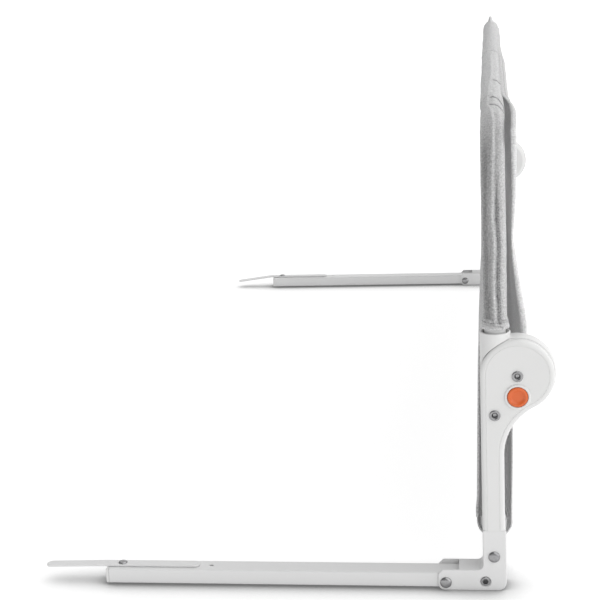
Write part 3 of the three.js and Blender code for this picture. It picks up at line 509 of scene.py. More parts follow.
# Bracket
BRACKET_LIP = 1.0
BRACKET_CORNER = 9.0
BRACKET_FILLET = 6.0
BRACKET_WALL = 1.5
BRACKET_WEB = 2.0
BRACKET_EDGE = (1.1, 1.1)
BRACKET_TOP_GAP = 0.08
FOOT_HEIGHT = 21.3
FOOT_END_CORNER = 6.5
FOOT_END_SLOPE = 4.6
WEB_REACH = 45.0
FOOT_END = span("corner_bracket_left")[1].y
SCREW_SEAT = (1.5, 1.1)
SCREW_SEAT_DEPTHS = (0.8, 2.2)
SCREW_HOLE = 3.2
SOCKET_EDGE = (1.2, 1.2)
STUB_RADIUS = 5.0
CROSS_TUBE_ENTRY = 12.0


def bracket_outline(inset):
    """The bracket's L: a rounded corner, a foot with a sloping end, a fillet and a leg."""
    corner = BRACKET_CORNER - BRACKET_LIP
    top = COVER_BOTTOM - GAP + CUT_REACH
    slope = FOOT_END_SLOPE + inset * (math.sqrt(2) - 1)
    fillet = FOOT_HEIGHT + BRACKET_FILLET
    points = arc(corner, BRACKET_CORNER, BRACKET_CORNER - inset, 2 * QUARTER, 3 * QUARTER)
    points += arc(FOOT_END - FOOT_END_CORNER, FOOT_END_CORNER, FOOT_END_CORNER - inset, -QUARTER, 0)
    points += [(FOOT_END - inset, FOOT_HEIGHT - slope), (FOOT_END - slope, FOOT_HEIGHT - inset)]
    points += arc(POST_WIDTH + BRACKET_FILLET, fillet, BRACKET_FILLET + inset, -QUARTER, -2 * QUARTER)
    return points + [(POST_WIDTH - inset, top), (inset - BRACKET_LIP, top)]


def screw_seat():
    start, _, place, head = round_of("bracket_screw_left")
    back = POST_DEPTH + OVERRUN
    return turned([(-OVERRUN, 0), (-OVERRUN, head + SCREW_SEAT[0]), (0, head + SCREW_SEAT[1]),
                   (start + SCREW_SEAT_DEPTHS[0], head + GAP), (start + SCREW_SEAT_DEPTHS[1], SCREW_HOLE),
                   (back, SCREW_HOLE), (back, 0)], place)


def corner_bracket():
    """The L with its hollow below, a slit in the foot's top for the arm, and the screw's seat."""
    edge = edge_rounding(*BRACKET_EDGE)
    whole = prism(bracket_outline, 0, POST_DEPTH, edge, edge)
    top = COVER_BOTTOM - BRACKET_TOP_GAP
    above = block((-OVERRUN, HINGE_DEPTH), (-2 * OVERRUN, POST_WIDTH + OVERRUN), (top, top + 2 * CUT_REACH))
    inside = (BRACKET_WALL, POST_DEPTH - BRACKET_WALL)
    ceiling = FOOT_HEIGHT - BRACKET_WEB
    corner = BRACKET_CORNER - BRACKET_LIP
    past = FOOT_END + OVERRUN
    hollow = [(corner, -OVERRUN), (past, -OVERRUN), (past, ceiling), (BRACKET_WALL - BRACKET_LIP, ceiling)]
    hollow += arc(corner, BRACKET_CORNER, BRACKET_CORNER - BRACKET_WALL, 2 * QUARTER, 3 * QUARTER)[:-1]
    slit = block(inside, (WEB_REACH, past), (ceiling - OVERRUN, FOOT_HEIGHT + OVERRUN))
    return carved(whole, cuts=[above, slab(hollow, inside), slit, screw_seat()])


def cross_socket():
    """A stub in the post, and the rounded collar that takes the cross tube."""
    start, end, place, radius = round_of("cross_socket_left")
    seat = POST_DEPTH + GAP
    bore = TUBE_RADIUS + GAP
    floor = end - CROSS_TUBE_ENTRY
    profile = [(start, 0), (start, STUB_RADIUS), (seat, STUB_RADIUS)]
    profile += barrel(seat, end, radius, SOCKET_EDGE, SOCKET_EDGE)[1:-1]
    return mesh_of(turned(profile + [(end, bore), (floor, bore), (floor, 0)], place))


# Arm
ARM_LOW, ARM_HIGH = span("arm_tube_left")
ARM_CORNER = 1.8
ARM_LEAST_CORNER = 0.4
ARM_WALL = 1.2
PLUG_LOW, PLUG_HIGH = span("arm_plug_left")
PLUG_INSET = 1.5
PLUG_EDGE = (1.2, 1.2)
NOTCH_INSET = 102.8
NOTCH_SIZE = (2.6, 4.3)
NOTCH_DEPTH = 4.0
TONGUE_THICK = 2.0
TONGUE_CORNER = 0.5
TONGUE_BEND = 19.0
TONGUE_EASE = 1.5
TONGUE_DROOPS = {"left": math.radians(1.5), "right": math.radians(7.6)}


def rounded_section(half_width, half_height, corner, s, z):
    """A rounded rectangle across y, as (depth, z) pairs."""
    x, h = half_width - corner, half_height - corner
    points = []
    for k, (sx, sz) in enumerate([(1, -1), (1, 1), (-1, 1), (-1, -1)]):
        start = (k - 1) * QUARTER
        points += [(s + sx * x + corner * math.cos(a), z + sz * h + corner * math.sin(a))
                   for a in np.linspace(start, start + QUARTER, 6)]
    return points


def arm_section(inset):
    place = (ARM_LOW + ARM_HIGH) / 2
    half = (ARM_HIGH - ARM_LOW) / 2
    corner = max(ARM_CORNER - inset, ARM_LEAST_CORNER)
    return rounded_section(half.x - inset, half.z - inset, corner, place.x, place.z)


def beam(stations):
    """The arm's section along y; stations are pairs of inset and y."""
    return skin([[(s, y, z) for s, z in arm_section(inset)] for inset, y in stations])


def arm_tube():
    tube = beam([(0, ARM_LOW.y), (0, ARM_HIGH.y)])
    inside = beam([(ARM_WALL, ARM_LOW.y - OVERRUN), (ARM_WALL, ARM_HIGH.y + OVERRUN)])
    x = (ARM_LOW.x + ARM_HIGH.x) / 2
    y = ARM_HIGH.y - NOTCH_INSET
    wide, long = NOTCH_SIZE
    notch = block((x - wide / 2, x + wide / 2), (y - long / 2, y + long / 2),
                  (ARM_HIGH.z - NOTCH_DEPTH, ARM_HIGH.z + OVERRUN))
    return carved(tube, cuts=[inside, notch])


def arm_plug():
    stations = [(PLUG_INSET, PLUG_LOW.y), (PLUG_INSET, ARM_HIGH.y + GAP), (0, ARM_HIGH.y + GAP)]
    stations += [(inset, PLUG_HIGH.y - depth) for inset, depth in reversed(edge_rounding(*PLUG_EDGE))]
    return mesh_of(beam(stations))


def tongue(side):
    """A flat bar with round ends, whose outer half droops."""
    low, high = span("tongue_left")
    pin = middle("tongue_rivet_left")
    round_end = (high.x - low.x) / 2
    straight = (high.y - low.y) / 2 - round_end
    level = ARM_HIGH.z + GAP + TONGUE_THICK / 2
    ends = [straight + round_end * math.sin(a) for a in np.linspace(0, QUARTER - 0.05, 12)]
    bend = [0, TONGUE_BEND - TONGUE_EASE, TONGUE_BEND, TONGUE_BEND + TONGUE_EASE]
    rings = []
    for y in sorted([-e for e in ends] + bend + ends):
        width = math.sqrt(round_end ** 2 - max(abs(y) - straight, 0) ** 2)
        fall = max(y - TONGUE_BEND, 0) * math.tan(TONGUE_DROOPS[side])
        corner = min(TONGUE_CORNER, 0.8 * width)
        section = rounded_section(width, TONGUE_THICK / 2, corner, pin.x, level - fall)
        rings.append([(s, pin.y + y, z) for s, z in section])
    return mesh_of(skin(rings))


# Upper tube and sleeve run along the same path
class FramePath:
    """The U of the upper tube, by length from a low point on the left leg; x is along the rail."""

    def __init__(self, bottom):
        self.bottom = bottom
        self.leg_x = END_X - LEG_DEPTH
        self.rise = TOP_Z - TUBE_BEND - bottom
        self.turn = TUBE_BEND * QUARTER
        self.length = 2 * (self.rise + self.turn + self.leg_x - TUBE_BEND)
        # On the top, the depth is the length less this
        self.ahead = self.rise + self.turn - LEG_DEPTH - TUBE_BEND

    def at(self, length):
        """Middle point (x, z) and outward direction (x, z)."""
        mirrored = length > self.length / 2
        if mirrored:
            length = self.length - length
        if length < self.rise:
            x, z, angle = -self.leg_x, self.bottom + length, 0.0
        elif length < self.rise + self.turn:
            angle = (length - self.rise) / TUBE_BEND
            x = -self.leg_x + TUBE_BEND * (1 - math.cos(angle))
            z = self.bottom + self.rise + TUBE_BEND * math.sin(angle)
        else:
            angle = QUARTER
            x, z = -self.leg_x + TUBE_BEND + length - self.rise - self.turn, TOP_Z
        out = (-math.cos(angle), math.sin(angle))
        if mirrored:
            x, out = -x, (-out[0], out[1])
        return (x, z), out

    def ring(self, length, radii, angles):
        """A ring across the path; angles run from its outward side towards the bed."""
        (x, z), (out_x, out_z) = self.at(length)
        out = radii * np.cos(angles)
        return np.column_stack([x + out * out_x, TUBE_Y + radii * np.sin(angles), z + out * out_z])


def upper_tube():
    path = FramePath(BOSS_TOP - SOCKET_DEPTH + GAP)
    angles = np.linspace(0, 2 * math.pi, TUBE_STEPS, endpoint=False)
    lengths = [0.0, *np.linspace(path.rise, path.rise + path.turn, 16)]
    lengths += [path.length - length for length in reversed(lengths)]
    outside = [path.ring(length, TUBE_RADIUS, angles) for length in lengths]
    inside = [path.ring(length, TUBE_RADIUS - TUBE_WALL, angles) for length in reversed(lengths)]
    return mesh_of(skin(outside + inside, closed=True))


# Cloth
LATTICE = 64


def soft_noise(u, v, seed):
    """Smooth noise from -1 to 1 over lattice coordinates, the same each run."""
    table = np.random.RandomState(seed).uniform(-1, 1, (LATTICE, LATTICE))
    i, j = np.floor(u).astype(int), np.floor(v).astype(int)
    a, b = smooth(u - i, 0, 1), smooth(v - j, 0, 1)

    def knot(right, up):
        return table[(i + right) % LATTICE, (j + up) % LATTICE]

    return mixed(mixed(knot(0, 0), knot(1, 0), a), mixed(knot(0, 1), knot(1, 1), a), b)


def curve_through(knots, values):
    """A smooth curve through (place, value) knots that doesn't overshoot between them."""
    places, heights = np.array(knots, float).T
    rises = np.diff(heights) / np.diff(places)
    slopes = np.zeros_like(heights)
    turning = rises[1:] * rises[:-1] > 0
    slopes[1:-1][turning] = 2 * (rises[1:] * rises[:-1])[turning] / (rises[1:] + rises[:-1])[turning]
    values = np.clip(values, places[0], places[-1])
    k = np.clip(np.searchsorted(places, values) - 1, 0, len(places) - 2)
    step = places[k + 1] - places[k]
    t = (values - places[k]) / step
    return ((2 * t ** 3 - 3 * t ** 2 + 1) * heights[k] + (t ** 3 - 2 * t ** 2 + t) * step * slopes[k]
            + (3 * t ** 2 - 2 * t ** 3) * heights[k + 1] + (t ** 3 - t ** 2) * step * slopes[k + 1])


def corner_points(mesh):
    """The point of each corner of each face."""
    corners = np.empty(len(mesh.loops), dtype=int)
    mesh.loops.foreach_get("vertex_index", corners)
    return corners


def add_layers(mesh, cloth, sewing, crease_shades, painted_light):
    """UVs in metres for the weave and the stitches, and each point's painted crease shade, place and painted
    light.
    """
    corners = corner_points(mesh)
    for name, uv in (("cloth", cloth), ("sewing", sewing)):
        mesh.uv_layers.new(name=name).data.foreach_set("uv", (uv[corners] * MM).ravel())
    places = np.empty(3 * len(mesh.vertices))
    mesh.vertices.foreach_get("co", places)
    mesh.attributes.new("crease_shade", "FLOAT", "POINT").data.foreach_set("value", crease_shades)
    mesh.attributes.new("rest", "FLOAT_VECTOR", "POINT").data.foreach_set("vector", places)
    mesh.attributes.new("painted_light", "FLOAT", "POINT").data.foreach_set("value", painted_light)


def quads_of(*corners):
    return np.stack([corner.ravel() for corner in corners], axis=1)


def cloth_mesh(points, halves, uv, sewing, painted_light):
    """A closed sheet about a grid of middle points, with half its thickness and both faces' painted light.
    """
    normals = np.cross(np.gradient(points, axis=1), np.gradient(points, axis=0))
    normals /= np.linalg.norm(normals, axis=2, keepdims=True)
    shift = normals * halves[..., None]
    verts = np.concatenate([(points + shift).reshape(-1, 3), (points - shift).reshape(-1, 3)])
    index = np.arange(halves.size).reshape(halves.shape)
    other = index + halves.size
    quads = [quads_of(index[:-1, :-1], index[:-1, 1:], index[1:, 1:], index[1:, :-1]),
             quads_of(other[:-1, :-1], other[1:, :-1], other[1:, 1:], other[:-1, 1:])]
    for line in (index[0], index[:, -1], index[-1, ::-1], index[::-1, 0]):
        far = line + halves.size
        quads.append(quads_of(line[:-1], far[:-1], far[1:], line[1:]))
    mesh = bpy.data.meshes.new("cloth")
    mesh.from_pydata((verts * MM).tolist(), [], np.concatenate(quads).tolist())
    both = [np.tile(layer.reshape(-1, 2), (2, 1)) for layer in (uv, sewing)]
    add_layers(mesh, *both, np.zeros(len(verts)), painted_light.ravel())
    mended(mesh).shade_smooth()
    return mesh


# Fabric walls, in y from the post's outer face
CLOTH_HALF = END_X - span("lower_fabric")[0].x
CLOTH_THICK = 1.2
HALF_THICK = CLOTH_THICK / 2
HEM_WIDTH = 7.0
HEM_THICK = 2.6
HEM_EDGE = 1.6
HEM_Z = span("sleeve")[0].z
STITCH_INSET = 1.3
EDGE_COLUMNS = (0, 0.4, 1.2, 2.4, 4, 5.8, HEM_WIDTH, HEM_WIDTH + 0.5, HEM_WIDTH + 1.2, HEM_WIDTH + 3)
INSIDE_START = HEM_WIDTH + 8
INSIDE_COLUMNS = 190
LOOP_RADIUS = 17.2
LOOP_Y = span("lower_fabric")[1].y - LOOP_RADIUS
LOOP_Z = middle("cross_tube").z - 2.2
INNER_Y = LOOP_Y + LOOP_RADIUS
OUTER_Y = LOOP_Y - LOOP_RADIUS

# The outer wall: where it starts past the loop's middle, its bend over the hinges and its top edge
LAP_TURN = -0.12
BEND_ROWS = (200, 235)
FLARE_REACH = 330.0
FREE_TOP = 442.0
FREE_SAG = 6.0
FREE_REACH = (145, 198)
FAR_FREE_REACH = (84, 140)
TOP_SETTLE = (372, 436)
TOP_SWELL = 1.0
TOP_TUCK = 1.0
SEAM_TURN = math.radians(140)

# The outer wall's outside, as (z, y), at the near edge, at the far edge and between them
LOWER_LINE = ((58, OUTER_Y), (123, OUTER_Y - 1.2), (185, OUTER_Y - 2), (217.5, -13.6))
NEAR_LINE = (*LOWER_LINE, (236, -20.6), (253, -22.9), (289, -18.2), (321, -13.1), (340, -10.9), (360, -12.2),
             (378, -13.5), (410, -14.4), (442, -14.7))
FAR_LINE = (*LOWER_LINE, (240, -20), (262, -22), (300, -15.5), (340, -9.5), (400, -7.5), (442, -7))
MIDDLE_LINE = ((58, OUTER_Y), (123, OUTER_Y - 1), (185, OUTER_Y - 1.6), (217.5, -12.4), (262, -11.5),
               (330, -8), (442, -6.4))
# The same outside at the top edge, as (depth, y)
TOP_LINE = ((13, -14.7), (60, -15.2), (110, -16.0), (160, -16.6), (195, -16.0), (222, -14.0), (256, -12.3),
            (600, -12.0), (690, -9.8), (860, -7.8), (1010, -6.9), (1190, -6.7))
# Thickness of the outer wall's padded hem, by z
HEM_THICKS = ((60, 1.5), (200, 1.8), (226, 4.2), (253, 6.6), (289, 5.4), (321, 3.8), (340, 2.4), (378, 4.2),
              (442, 5.4))

# The inner wall's bed side, as (z, y), its inset from the frame's middle line and its rows
INNER_LINE = ((58, INNER_Y - 0.4), (75, INNER_Y - 0.2), (123, INNER_Y - 1), (191, INNER_Y - 2.6),
              (234, INNER_Y - 3.8), (247, INNER_Y - 5.2), (253, INNER_Y - 7), (260, 17.6), (446, 17.4))
INNER_INSET = 6.0
INNER_ROWS = (LOOP_Z + 4, 165, 275)
INNER_SETTLE = 45.0
LAP_RISE = 1.3
LAP_FALL = (LOOP_Z + 10, LOOP_Z + 26)

# Hollows in a wall: share of the depth, length and height, shifts and seed, and the heights they keep to
WRINKLES = ((1, 95, 60, 3, 5, 11), (0.55, 38, 120, 9, 1, 12), (0.16, 17, 23, 2, 7, 13))
WRINKLE_FADE = (4, 60)
OUTER_DEPTHS = (0.5, 1.6)
OUTER_DEEPER = (PIVOT_Z, PIVOT_Z + 30)
OUTER_HOLLOWS = ((LOOP_Z, LOOP_Z + 25), (425, TOP_Z))
INNER_DEPTH = 0.9
INNER_SHIFT = 400
LOW_HOLLOWS = ((LOOP_Z + 5, LOOP_Z + 40), (HEM_Z - 20, HEM_Z + 5))
HIGH_HOLLOWS = ((HEM_Z + 20, HEM_Z + 60), (TOP_Z - 40, TOP_Z - 10))
HIGH_SHARE = 0.35

# Painted light, where the outer wall is paler: from a height up on both faces' hems, and on the inner face
# up to a height
LIT_FROM = (205, 235)
LIT_TOP = (350, 410)
LIT_REACH = 22


def wall_columns():
    """Places along a wall, closer together at its hemmed edges."""
    edge = np.array(EDGE_COLUMNS)
    inside = np.linspace(INSIDE_START, 2 * CLOTH_HALF - INSIDE_START, INSIDE_COLUMNS)
    return np.concatenate([edge, inside, 2 * CLOTH_HALF - edge[::-1]]) - CLOTH_HALF


def wall_rows(stops, counts):
    """Heights from the first stop to the last, with a number of rows in each stretch."""
    stretches = [np.linspace(*pair, count, endpoint=False) for *pair, count in zip(stops, stops[1:], counts)]
    return np.concatenate([*stretches, stops[-1:]])


def in_hem(away, width):
    """1 within a hem's width of an edge and 0 past it."""
    return 1 - smooth(away, width - 0.4, width + 0.6)


def round_rise(away, reach, least):
    """Rises to 1 at some reach from an edge, as a round edge does."""
    return np.sqrt(np.clip(1 - (1 - np.clip(away / reach, 0, 1)) ** 2, least, 1))


def hem_half(from_edge, thick):
    """Half the sheet's thickness near a hemmed edge."""
    hem = mixed(CLOTH_THICK, thick, in_hem(from_edge, HEM_WIDTH))
    return hem / 2 * round_rise(from_edge, HEM_EDGE, 0.02)


def hem_stitches(points, from_edge, from_end):
    """For each point, its distance from the nearest line of stitches and the place along that line."""
    side = np.broadcast_to(from_edge, points.shape[:2]) - HEM_WIDTH + STITCH_INSET
    end = from_end - HEM_WIDTH + STITCH_INSET
    nearer = np.abs(side) < np.abs(end)
    return np.stack([np.where(nearer, side, end), np.where(nearer, points[..., 2], points[..., 0])], axis=2)


def lengths_along(points):
    """Length along each column of a grid, from its first row."""
    steps = np.linalg.norm(np.diff(points, axis=0), axis=2)
    return np.concatenate([np.zeros((1, points.shape[1])), np.cumsum(steps, axis=0)])


def wrinkles(x, z, depth):
    """Soft hollows in a stretched wall, fading at its edges."""
    hollows = 0
    for share, wide, tall, right, up, seed in WRINKLES:
        hollows = hollows + share * soft_noise(x / wide + right, z / tall + up, seed)
    return depth * smooth(CLOTH_HALF - np.abs(x), *WRINKLE_FADE) * hollows


def outer_wall():
    """Round the loop, up the outside, over the hinges and on to the sleeve."""
    x = wall_columns()
    from_edge = CLOTH_HALF - np.abs(x)
    sewn = smooth(from_edge, *FREE_REACH) * smooth(CLOTH_HALF - x, *FAR_FREE_REACH)
    radius = LOOP_RADIUS - HALF_THICK
    rows = []
    for turn in np.linspace(LAP_TURN, math.pi, 26)[:-1]:
        y = np.full_like(x, LOOP_Y + radius * math.cos(turn))
        rows.append(np.stack([x, y, np.full_like(x, LOOP_Z - radius * math.sin(turn))], axis=1))
    heights = wall_rows((LOOP_Z, *BEND_ROWS, TOP_Z), (19, 15, 47))
    courses = [(height, 0) for height in heights] + [(TOP_Z, share) for share in np.linspace(0, 1, 9)[1:]]
    for height, curled in courses:
        sag = TOP_Z - FREE_TOP + FREE_SAG * (1 - curled)
        z = height - (1 - sewn) * sag * smooth(height, BEND_ROWS[1], TOP_Z)
        seam = SLEEVE_RADIUS + TOP_SWELL + HALF_THICK - curled * (HALF_THICK + TOP_TUCK)
        reach = np.maximum(mixed(TUBE_Y - outer_line(x, z), seam, curled * sewn), seam * sewn)
        turn = mixed(math.pi, SEAM_TURN, curled * sewn)
        soft = wrinkles(x, z, mixed(*OUTER_DEPTHS, smooth(z, *OUTER_DEEPER))) * within(z, *OUTER_HOLLOWS)
        rows.append(np.stack([x, TUBE_Y + reach * np.cos(turn) + soft, z + reach * np.sin(turn)], axis=1))
    points = np.stack(rows)
    thick = curve_through(HEM_THICKS, points[..., 2])
    from_top = lengths_along(points)
    from_top = from_top[-1] - from_top
    halves = np.maximum(hem_half(from_edge, thick), (1 - sewn) * hem_half(from_top, thick))
    return points, halves, hem_stitches(points, from_edge, from_top)


def outer_line(x, z):
    """How far out the outer wall's middle surface lies, as y."""
    edge = np.where(x < 0, curve_through(NEAR_LINE, z), curve_through(FAR_LINE, z))
    flare = 1 - smooth(CLOTH_HALF - np.abs(x), 0, FLARE_REACH)
    line = mixed(curve_through(MIDDLE_LINE, z) + HALF_THICK, edge + curve_through(HEM_THICKS, z) / 2, flare)
    top = curve_through(TOP_LINE, x + END_X) + HEM_THICKS[-1][1] / 2
    return mixed(line, top, smooth(z, *TOP_SETTLE))


def inner_wall():
    """Up the bed side from the loop, in over the sleeves' hems and round the frame's corners."""
    corner = TUBE_BEND - INNER_INSET
    top = TOP_Z - INNER_INSET
    wide = END_X - LEG_DEPTH - INNER_INSET
    share = wall_columns() / CLOTH_HALF
    heights = wall_rows((*INNER_ROWS, top - corner), (13, 33, 15))
    rows = [(z, mixed(CLOTH_HALF, wide, smooth(z, HEM_Z, HEM_Z + INNER_SETTLE))) for z in heights]
    rows += [(top - corner + corner * math.sin(turn), wide - corner + corner * math.cos(turn))
             for turn in np.linspace(0, QUARTER, 12)[1:]]
    grid = []
    for z, width in rows:
        x = share * width
        lap = LAP_RISE * (1 - smooth(z, *LAP_FALL))
        soft = within(z, *LOW_HOLLOWS) + HIGH_SHARE * within(z, *HIGH_HOLLOWS)
        soft = soft * wrinkles(x, z + INNER_SHIFT, INNER_DEPTH)
        y = curve_through(INNER_LINE, z) - HEM_THICK / 2 + lap + soft
        grid.append(np.stack([x, y, np.full_like(x, z)], axis=1))
    points = np.stack(grid)
    from_edge = CLOTH_HALF * (1 - np.abs(share))
    thick = mixed(HEM_THICK, CLOTH_THICK, smooth(points[..., 2], HEM_Z - 14, HEM_Z))
    return points, hem_half(from_edge, thick), hem_stitches(points, from_edge, lengths_along(points))


def outer_painted_light(points):
    """Painted light on the outer wall above the fold line: its hems, and its inner face between them, are
    paler.
    """
    from_edge = CLOTH_HALF - np.abs(points[..., 0])
    above = smooth(points[..., 2], *LIT_FROM)
    hem = 1 - smooth(from_edge, HEM_WIDTH, LIT_REACH)
    low = 1 - smooth(points[..., 2], *LIT_TOP)
    return np.stack([above * hem, above * np.maximum(hem, low)])


# Sleeve, by length from the left hem, offset round it from the seam, or depth on the top
SLEEVE_STEPS = 96
SLEEVE_STRIDE = 1.8
SLEEVE_HEM = 9.0
SLEEVE_BOTTOM = BOSS_TOP + 3.4
SLEEVE_ENDS = np.array((0, 0.6, 1.5))
HEM_RISE = 1.2
HEM_FLARE = 1.5
HEM_ROUND = 1.5
# Painted shade along the hem's edge: its darkness and width
HEM_SHADE = (0.4, 0.8)
LINING_GAP = 0.25
LEAST_CLOTH = 0.6
SWELL_START = (176, 178)
SEAM_START = (3, 9)
SEAM_END = (520, 660)
SEAM_HEIGHTS = (0.7, 1.5)
SEAM_ROUGH = (0.45, 7, 0.5, 21)
SEAM_WANDER = (0.9, 26, 2.5, 22)
RIDGE_WIDTH = 1.5
LEG_END = (150, 185)
VALLEY_END = (105, 150)
VALLEY_OFFSET = -3.6
VALLEY_SHAPE = (0.4, 1.3)
# Painted shade in the valley beside the seam: its darkness and width
VALLEY_SHADE = (0.55, 1.2)
# Swells beside the seam on the leg: height, offset and width
LEG_SWELLS = ((0.9, 2.4 * VALLEY_OFFSET, 3.4), (-0.7, 8.5, 4))
# Loose fabric at the far corner, by length from where the right leg bends
FIN_HEIGHT = 8.5
FIN_WIDTH = 2.2
FIN_REACH = ((25, 60), (95, 130))
# The seam's ridge: degrees from the outward side towards the bed, by length
RIDGE_TURNS = ((0, -2), (40, 3), (80, 2), (110, 6), (135, 4), (160, -2), (190, -6), (215, 4), (262, 26),
               (330, 20), (480, 3), (640, 0), (1500, 0))
# Folds across the top: depth, fall, run askew, width, strength of the painted shade in its crease and
# whether it starts at the seam
FOLDS = ((112, 1.1, 6, 1.2, 1, True), (168, 1.6, 16, 1.2, 1, True), (306, 0.9, 20, 1.2, 1, True),
         (640, 0.7, 12, 5, 0.15, False))
FOLD_START = (1, 4)
TOP_SIDE = (-0.2, 0.4)
FOLD_SWELL = 0.9
FOLD_REACH = ((0, 0.5), (3, 26))
FOLD_SHIFT = 1.2
# Painted shade in each fold's crease: its shift and width
FOLD_SHADE = (0.9, 1.3)
# Unevenness of the cloth: height, turns and lengths of its lattice, shift and seed
UNEVENNESS = ((0.35, 2.2, 30, 4, 23), (0.14, 6, 8, 1, 24))
SEWN_LENGTH = 120
SEWN_OFFSET = VALLEY_OFFSET - 1.8
HEM_STITCHES = (2.0, 3.0)
NO_STITCHES = 99.0


def round_bump(offset, width):
    return np.exp(-(offset / width) ** 2)


def drift(length, amount, stride, row, seed):
    """An amount that comes and goes along the seam."""
    return amount * soft_noise(length / stride, row, seed)


def sleeve_ring(path, length, angles):
    """Radii and painted crease shade round the sleeve at one length, and offsets from its seam."""
    end = min(length, path.length - length)
    depth = length - path.ahead
    hem = in_hem(end, SLEEVE_HEM)
    flare = HEM_FLARE * (1 - smooth(end, 0, SLEEVE_HEM)) ** 2
    rise = hem * (HEM_RISE + flare) * round_rise(end, HEM_ROUND, 0.05)
    ring = np.full_like(angles, SLEEVE_RADIUS + TOP_SWELL * smooth(depth, *SWELL_START) + rise)
    rough = 1 + drift(length, *SEAM_ROUGH)
    from_seam = angles - math.radians(curve_through(RIDGE_TURNS, length))
    from_seam = (from_seam + math.pi) % (2 * math.pi) - math.pi
    offset = from_seam * SLEEVE_RADIUS - drift(length, *SEAM_WANDER)
    leg = within(length, SEAM_START, LEG_END)
    valley = leg * (1 - smooth(length, *VALLEY_END))
    seam = smooth(end, *SEAM_START) * (1 - smooth(depth, *SEAM_END))
    fin = within(path.length - length - path.rise, *FIN_REACH)
    ring += seam * rough * mixed(*SEAM_HEIGHTS, leg) * round_bump(offset, RIDGE_WIDTH)
    ring -= valley * VALLEY_SHAPE[0] * round_bump(offset - VALLEY_OFFSET, VALLEY_SHAPE[1])
    ring += fin * FIN_HEIGHT * round_bump(offset, FIN_WIDTH)
    for height, place, width in LEG_SWELLS:
        ring += leg * height * round_bump(offset - place, width)
    # Painted shade for the valley, the hem's edge and the folds' creases, by which the material darkens the
    # cloth
    crease_shades = VALLEY_SHADE[0] * rough * valley * round_bump(offset - VALLEY_OFFSET, VALLEY_SHADE[1])
    crease_shades += HEM_SHADE[0] * hem * round_bump(end - SLEEVE_HEM, HEM_SHADE[1])
    for place, fall, askew, width, shade_weight, at_seam in FOLDS:
        side = smooth(-offset, *FOLD_START) if at_seam else smooth(np.cos(angles), *TOP_SIDE)
        along = depth - place + askew * (1 - np.cos(np.clip(from_seam, -QUARTER, 0)))
        ring += side * FOLD_SWELL * within(along, *FOLD_REACH)
        ring -= side * fall * round_bump(along + FOLD_SHIFT, width)
        crease_shades += side * shade_weight * fall * round_bump(along + FOLD_SHADE[0], FOLD_SHADE[1])
    for height, turns, stride, shift, seed in UNEVENNESS:
        ring += height * soft_noise(angles * turns + shift, length / stride, seed)
    return np.maximum(ring, TUBE_RADIUS + LEAST_CLOTH), np.clip(crease_shades, 0, 1), offset


def sleeve_stitches(path, length, offset, angles):
    """Round the sleeve, the distance from the nearest line of stitches and the place along that line."""
    inset, reach = HEM_STITCHES
    from_hem = min(length, path.length - length) - SLEEVE_HEM + inset
    if abs(from_hem) < reach:
        away, along = np.full_like(angles, from_hem), angles * SLEEVE_RADIUS
    else:
        away = offset - SEWN_OFFSET if length < SEWN_LENGTH else np.full_like(angles, NO_STITCHES)
        along = np.full_like(angles, length)
    return np.stack([away, along], axis=1)


def sleeve():
    """The sleeve as a closed tube of cloth round the frame, with its layers."""
    path = FramePath(SLEEVE_BOTTOM)
    angles = np.linspace(0, 2 * math.pi, SLEEVE_STEPS, endpoint=False)
    between = np.arange(3, path.length - 2.9, SLEEVE_STRIDE)
    lengths = np.concatenate([SLEEVE_ENDS, between, path.length - SLEEVE_ENDS[::-1]])
    outside, inside, crease_shades, sewing = [], [], [], []
    for length in lengths:
        ring, crease_shade, offset = sleeve_ring(path, length, angles)
        outside.append(path.ring(length, ring, angles))
        inside.append(path.ring(length, TUBE_RADIUS + LINING_GAP, angles))
        crease_shades.append(crease_shade)
        sewing.append(sleeve_stitches(path, length, offset, angles))
    points, faces = skin(outside + inside[::-1], closed=True)
    mesh = bpy.data.meshes.new("tube")
    mesh.from_pydata(((points + [0, FACE_Y, 0]) * MM).tolist(), [], faces)
    around = np.tile(angles * SLEEVE_RADIUS, 2 * len(lengths))
    along = np.repeat(np.concatenate([lengths, lengths[::-1]]), SLEEVE_STEPS)
    both = [np.concatenate(layer + layer[::-1]) for layer in (sewing, crease_shades)]
    add_layers(mesh, np.stack([around, along], axis=1), *both, np.zeros(len(points)))
    close_seam(mesh, SLEEVE_STEPS)
    mended(mesh).shade_smooth()
    return mesh, path.length


def close_seam(mesh, count):
    """Runs the weave on across the last strip of faces round a tube."""
    corners = corner_points(mesh)
    places = (corners % count).reshape(-1, 4)
    wraps = (places.max(axis=1) - places.min(axis=1) > count / 2)[:, None] & (places < count / 2)
    layer = mesh.uv_layers["cloth"].data
    uv = np.empty(2 * len(corners))
    layer.foreach_get("uv", uv)
    uv[0::2] += wraps.ravel() * 2 * math.pi * SLEEVE_RADIUS * MM
    layer.foreach_set("uv", uv)


# Materials
WHITE = (1, 1, 1, 1)
THREAD = 0.7
STITCH_LENGTH = 2.8
STITCH_WIDTH = 0.38
CHANNEL_REACH = (1.5, 0.3)
LIGHT_THROUGH = 0.9
LIGHT_REACH = 9.0


def feed(tree, node, inputs):
    """Sets a node's inputs, each to a number, a colour or the output that feeds it."""
    for key, value in inputs.items():
        if isinstance(value, bpy.types.NodeSocket):
            tree.links.new(value, node.inputs[key])
        else:
            node.inputs[key].default_value = value


def node_of(tree, kind, inputs=None, **settings):
    node = tree.nodes.new(kind)
    for key, value in settings.items():
        setattr(node, key, value)
    feed(tree, node, inputs or {})
    return node


def math_of(tree, operation, *values):
    return node_of(tree, "ShaderNodeMath", dict(enumerate(values)), operation=operation).outputs[0]


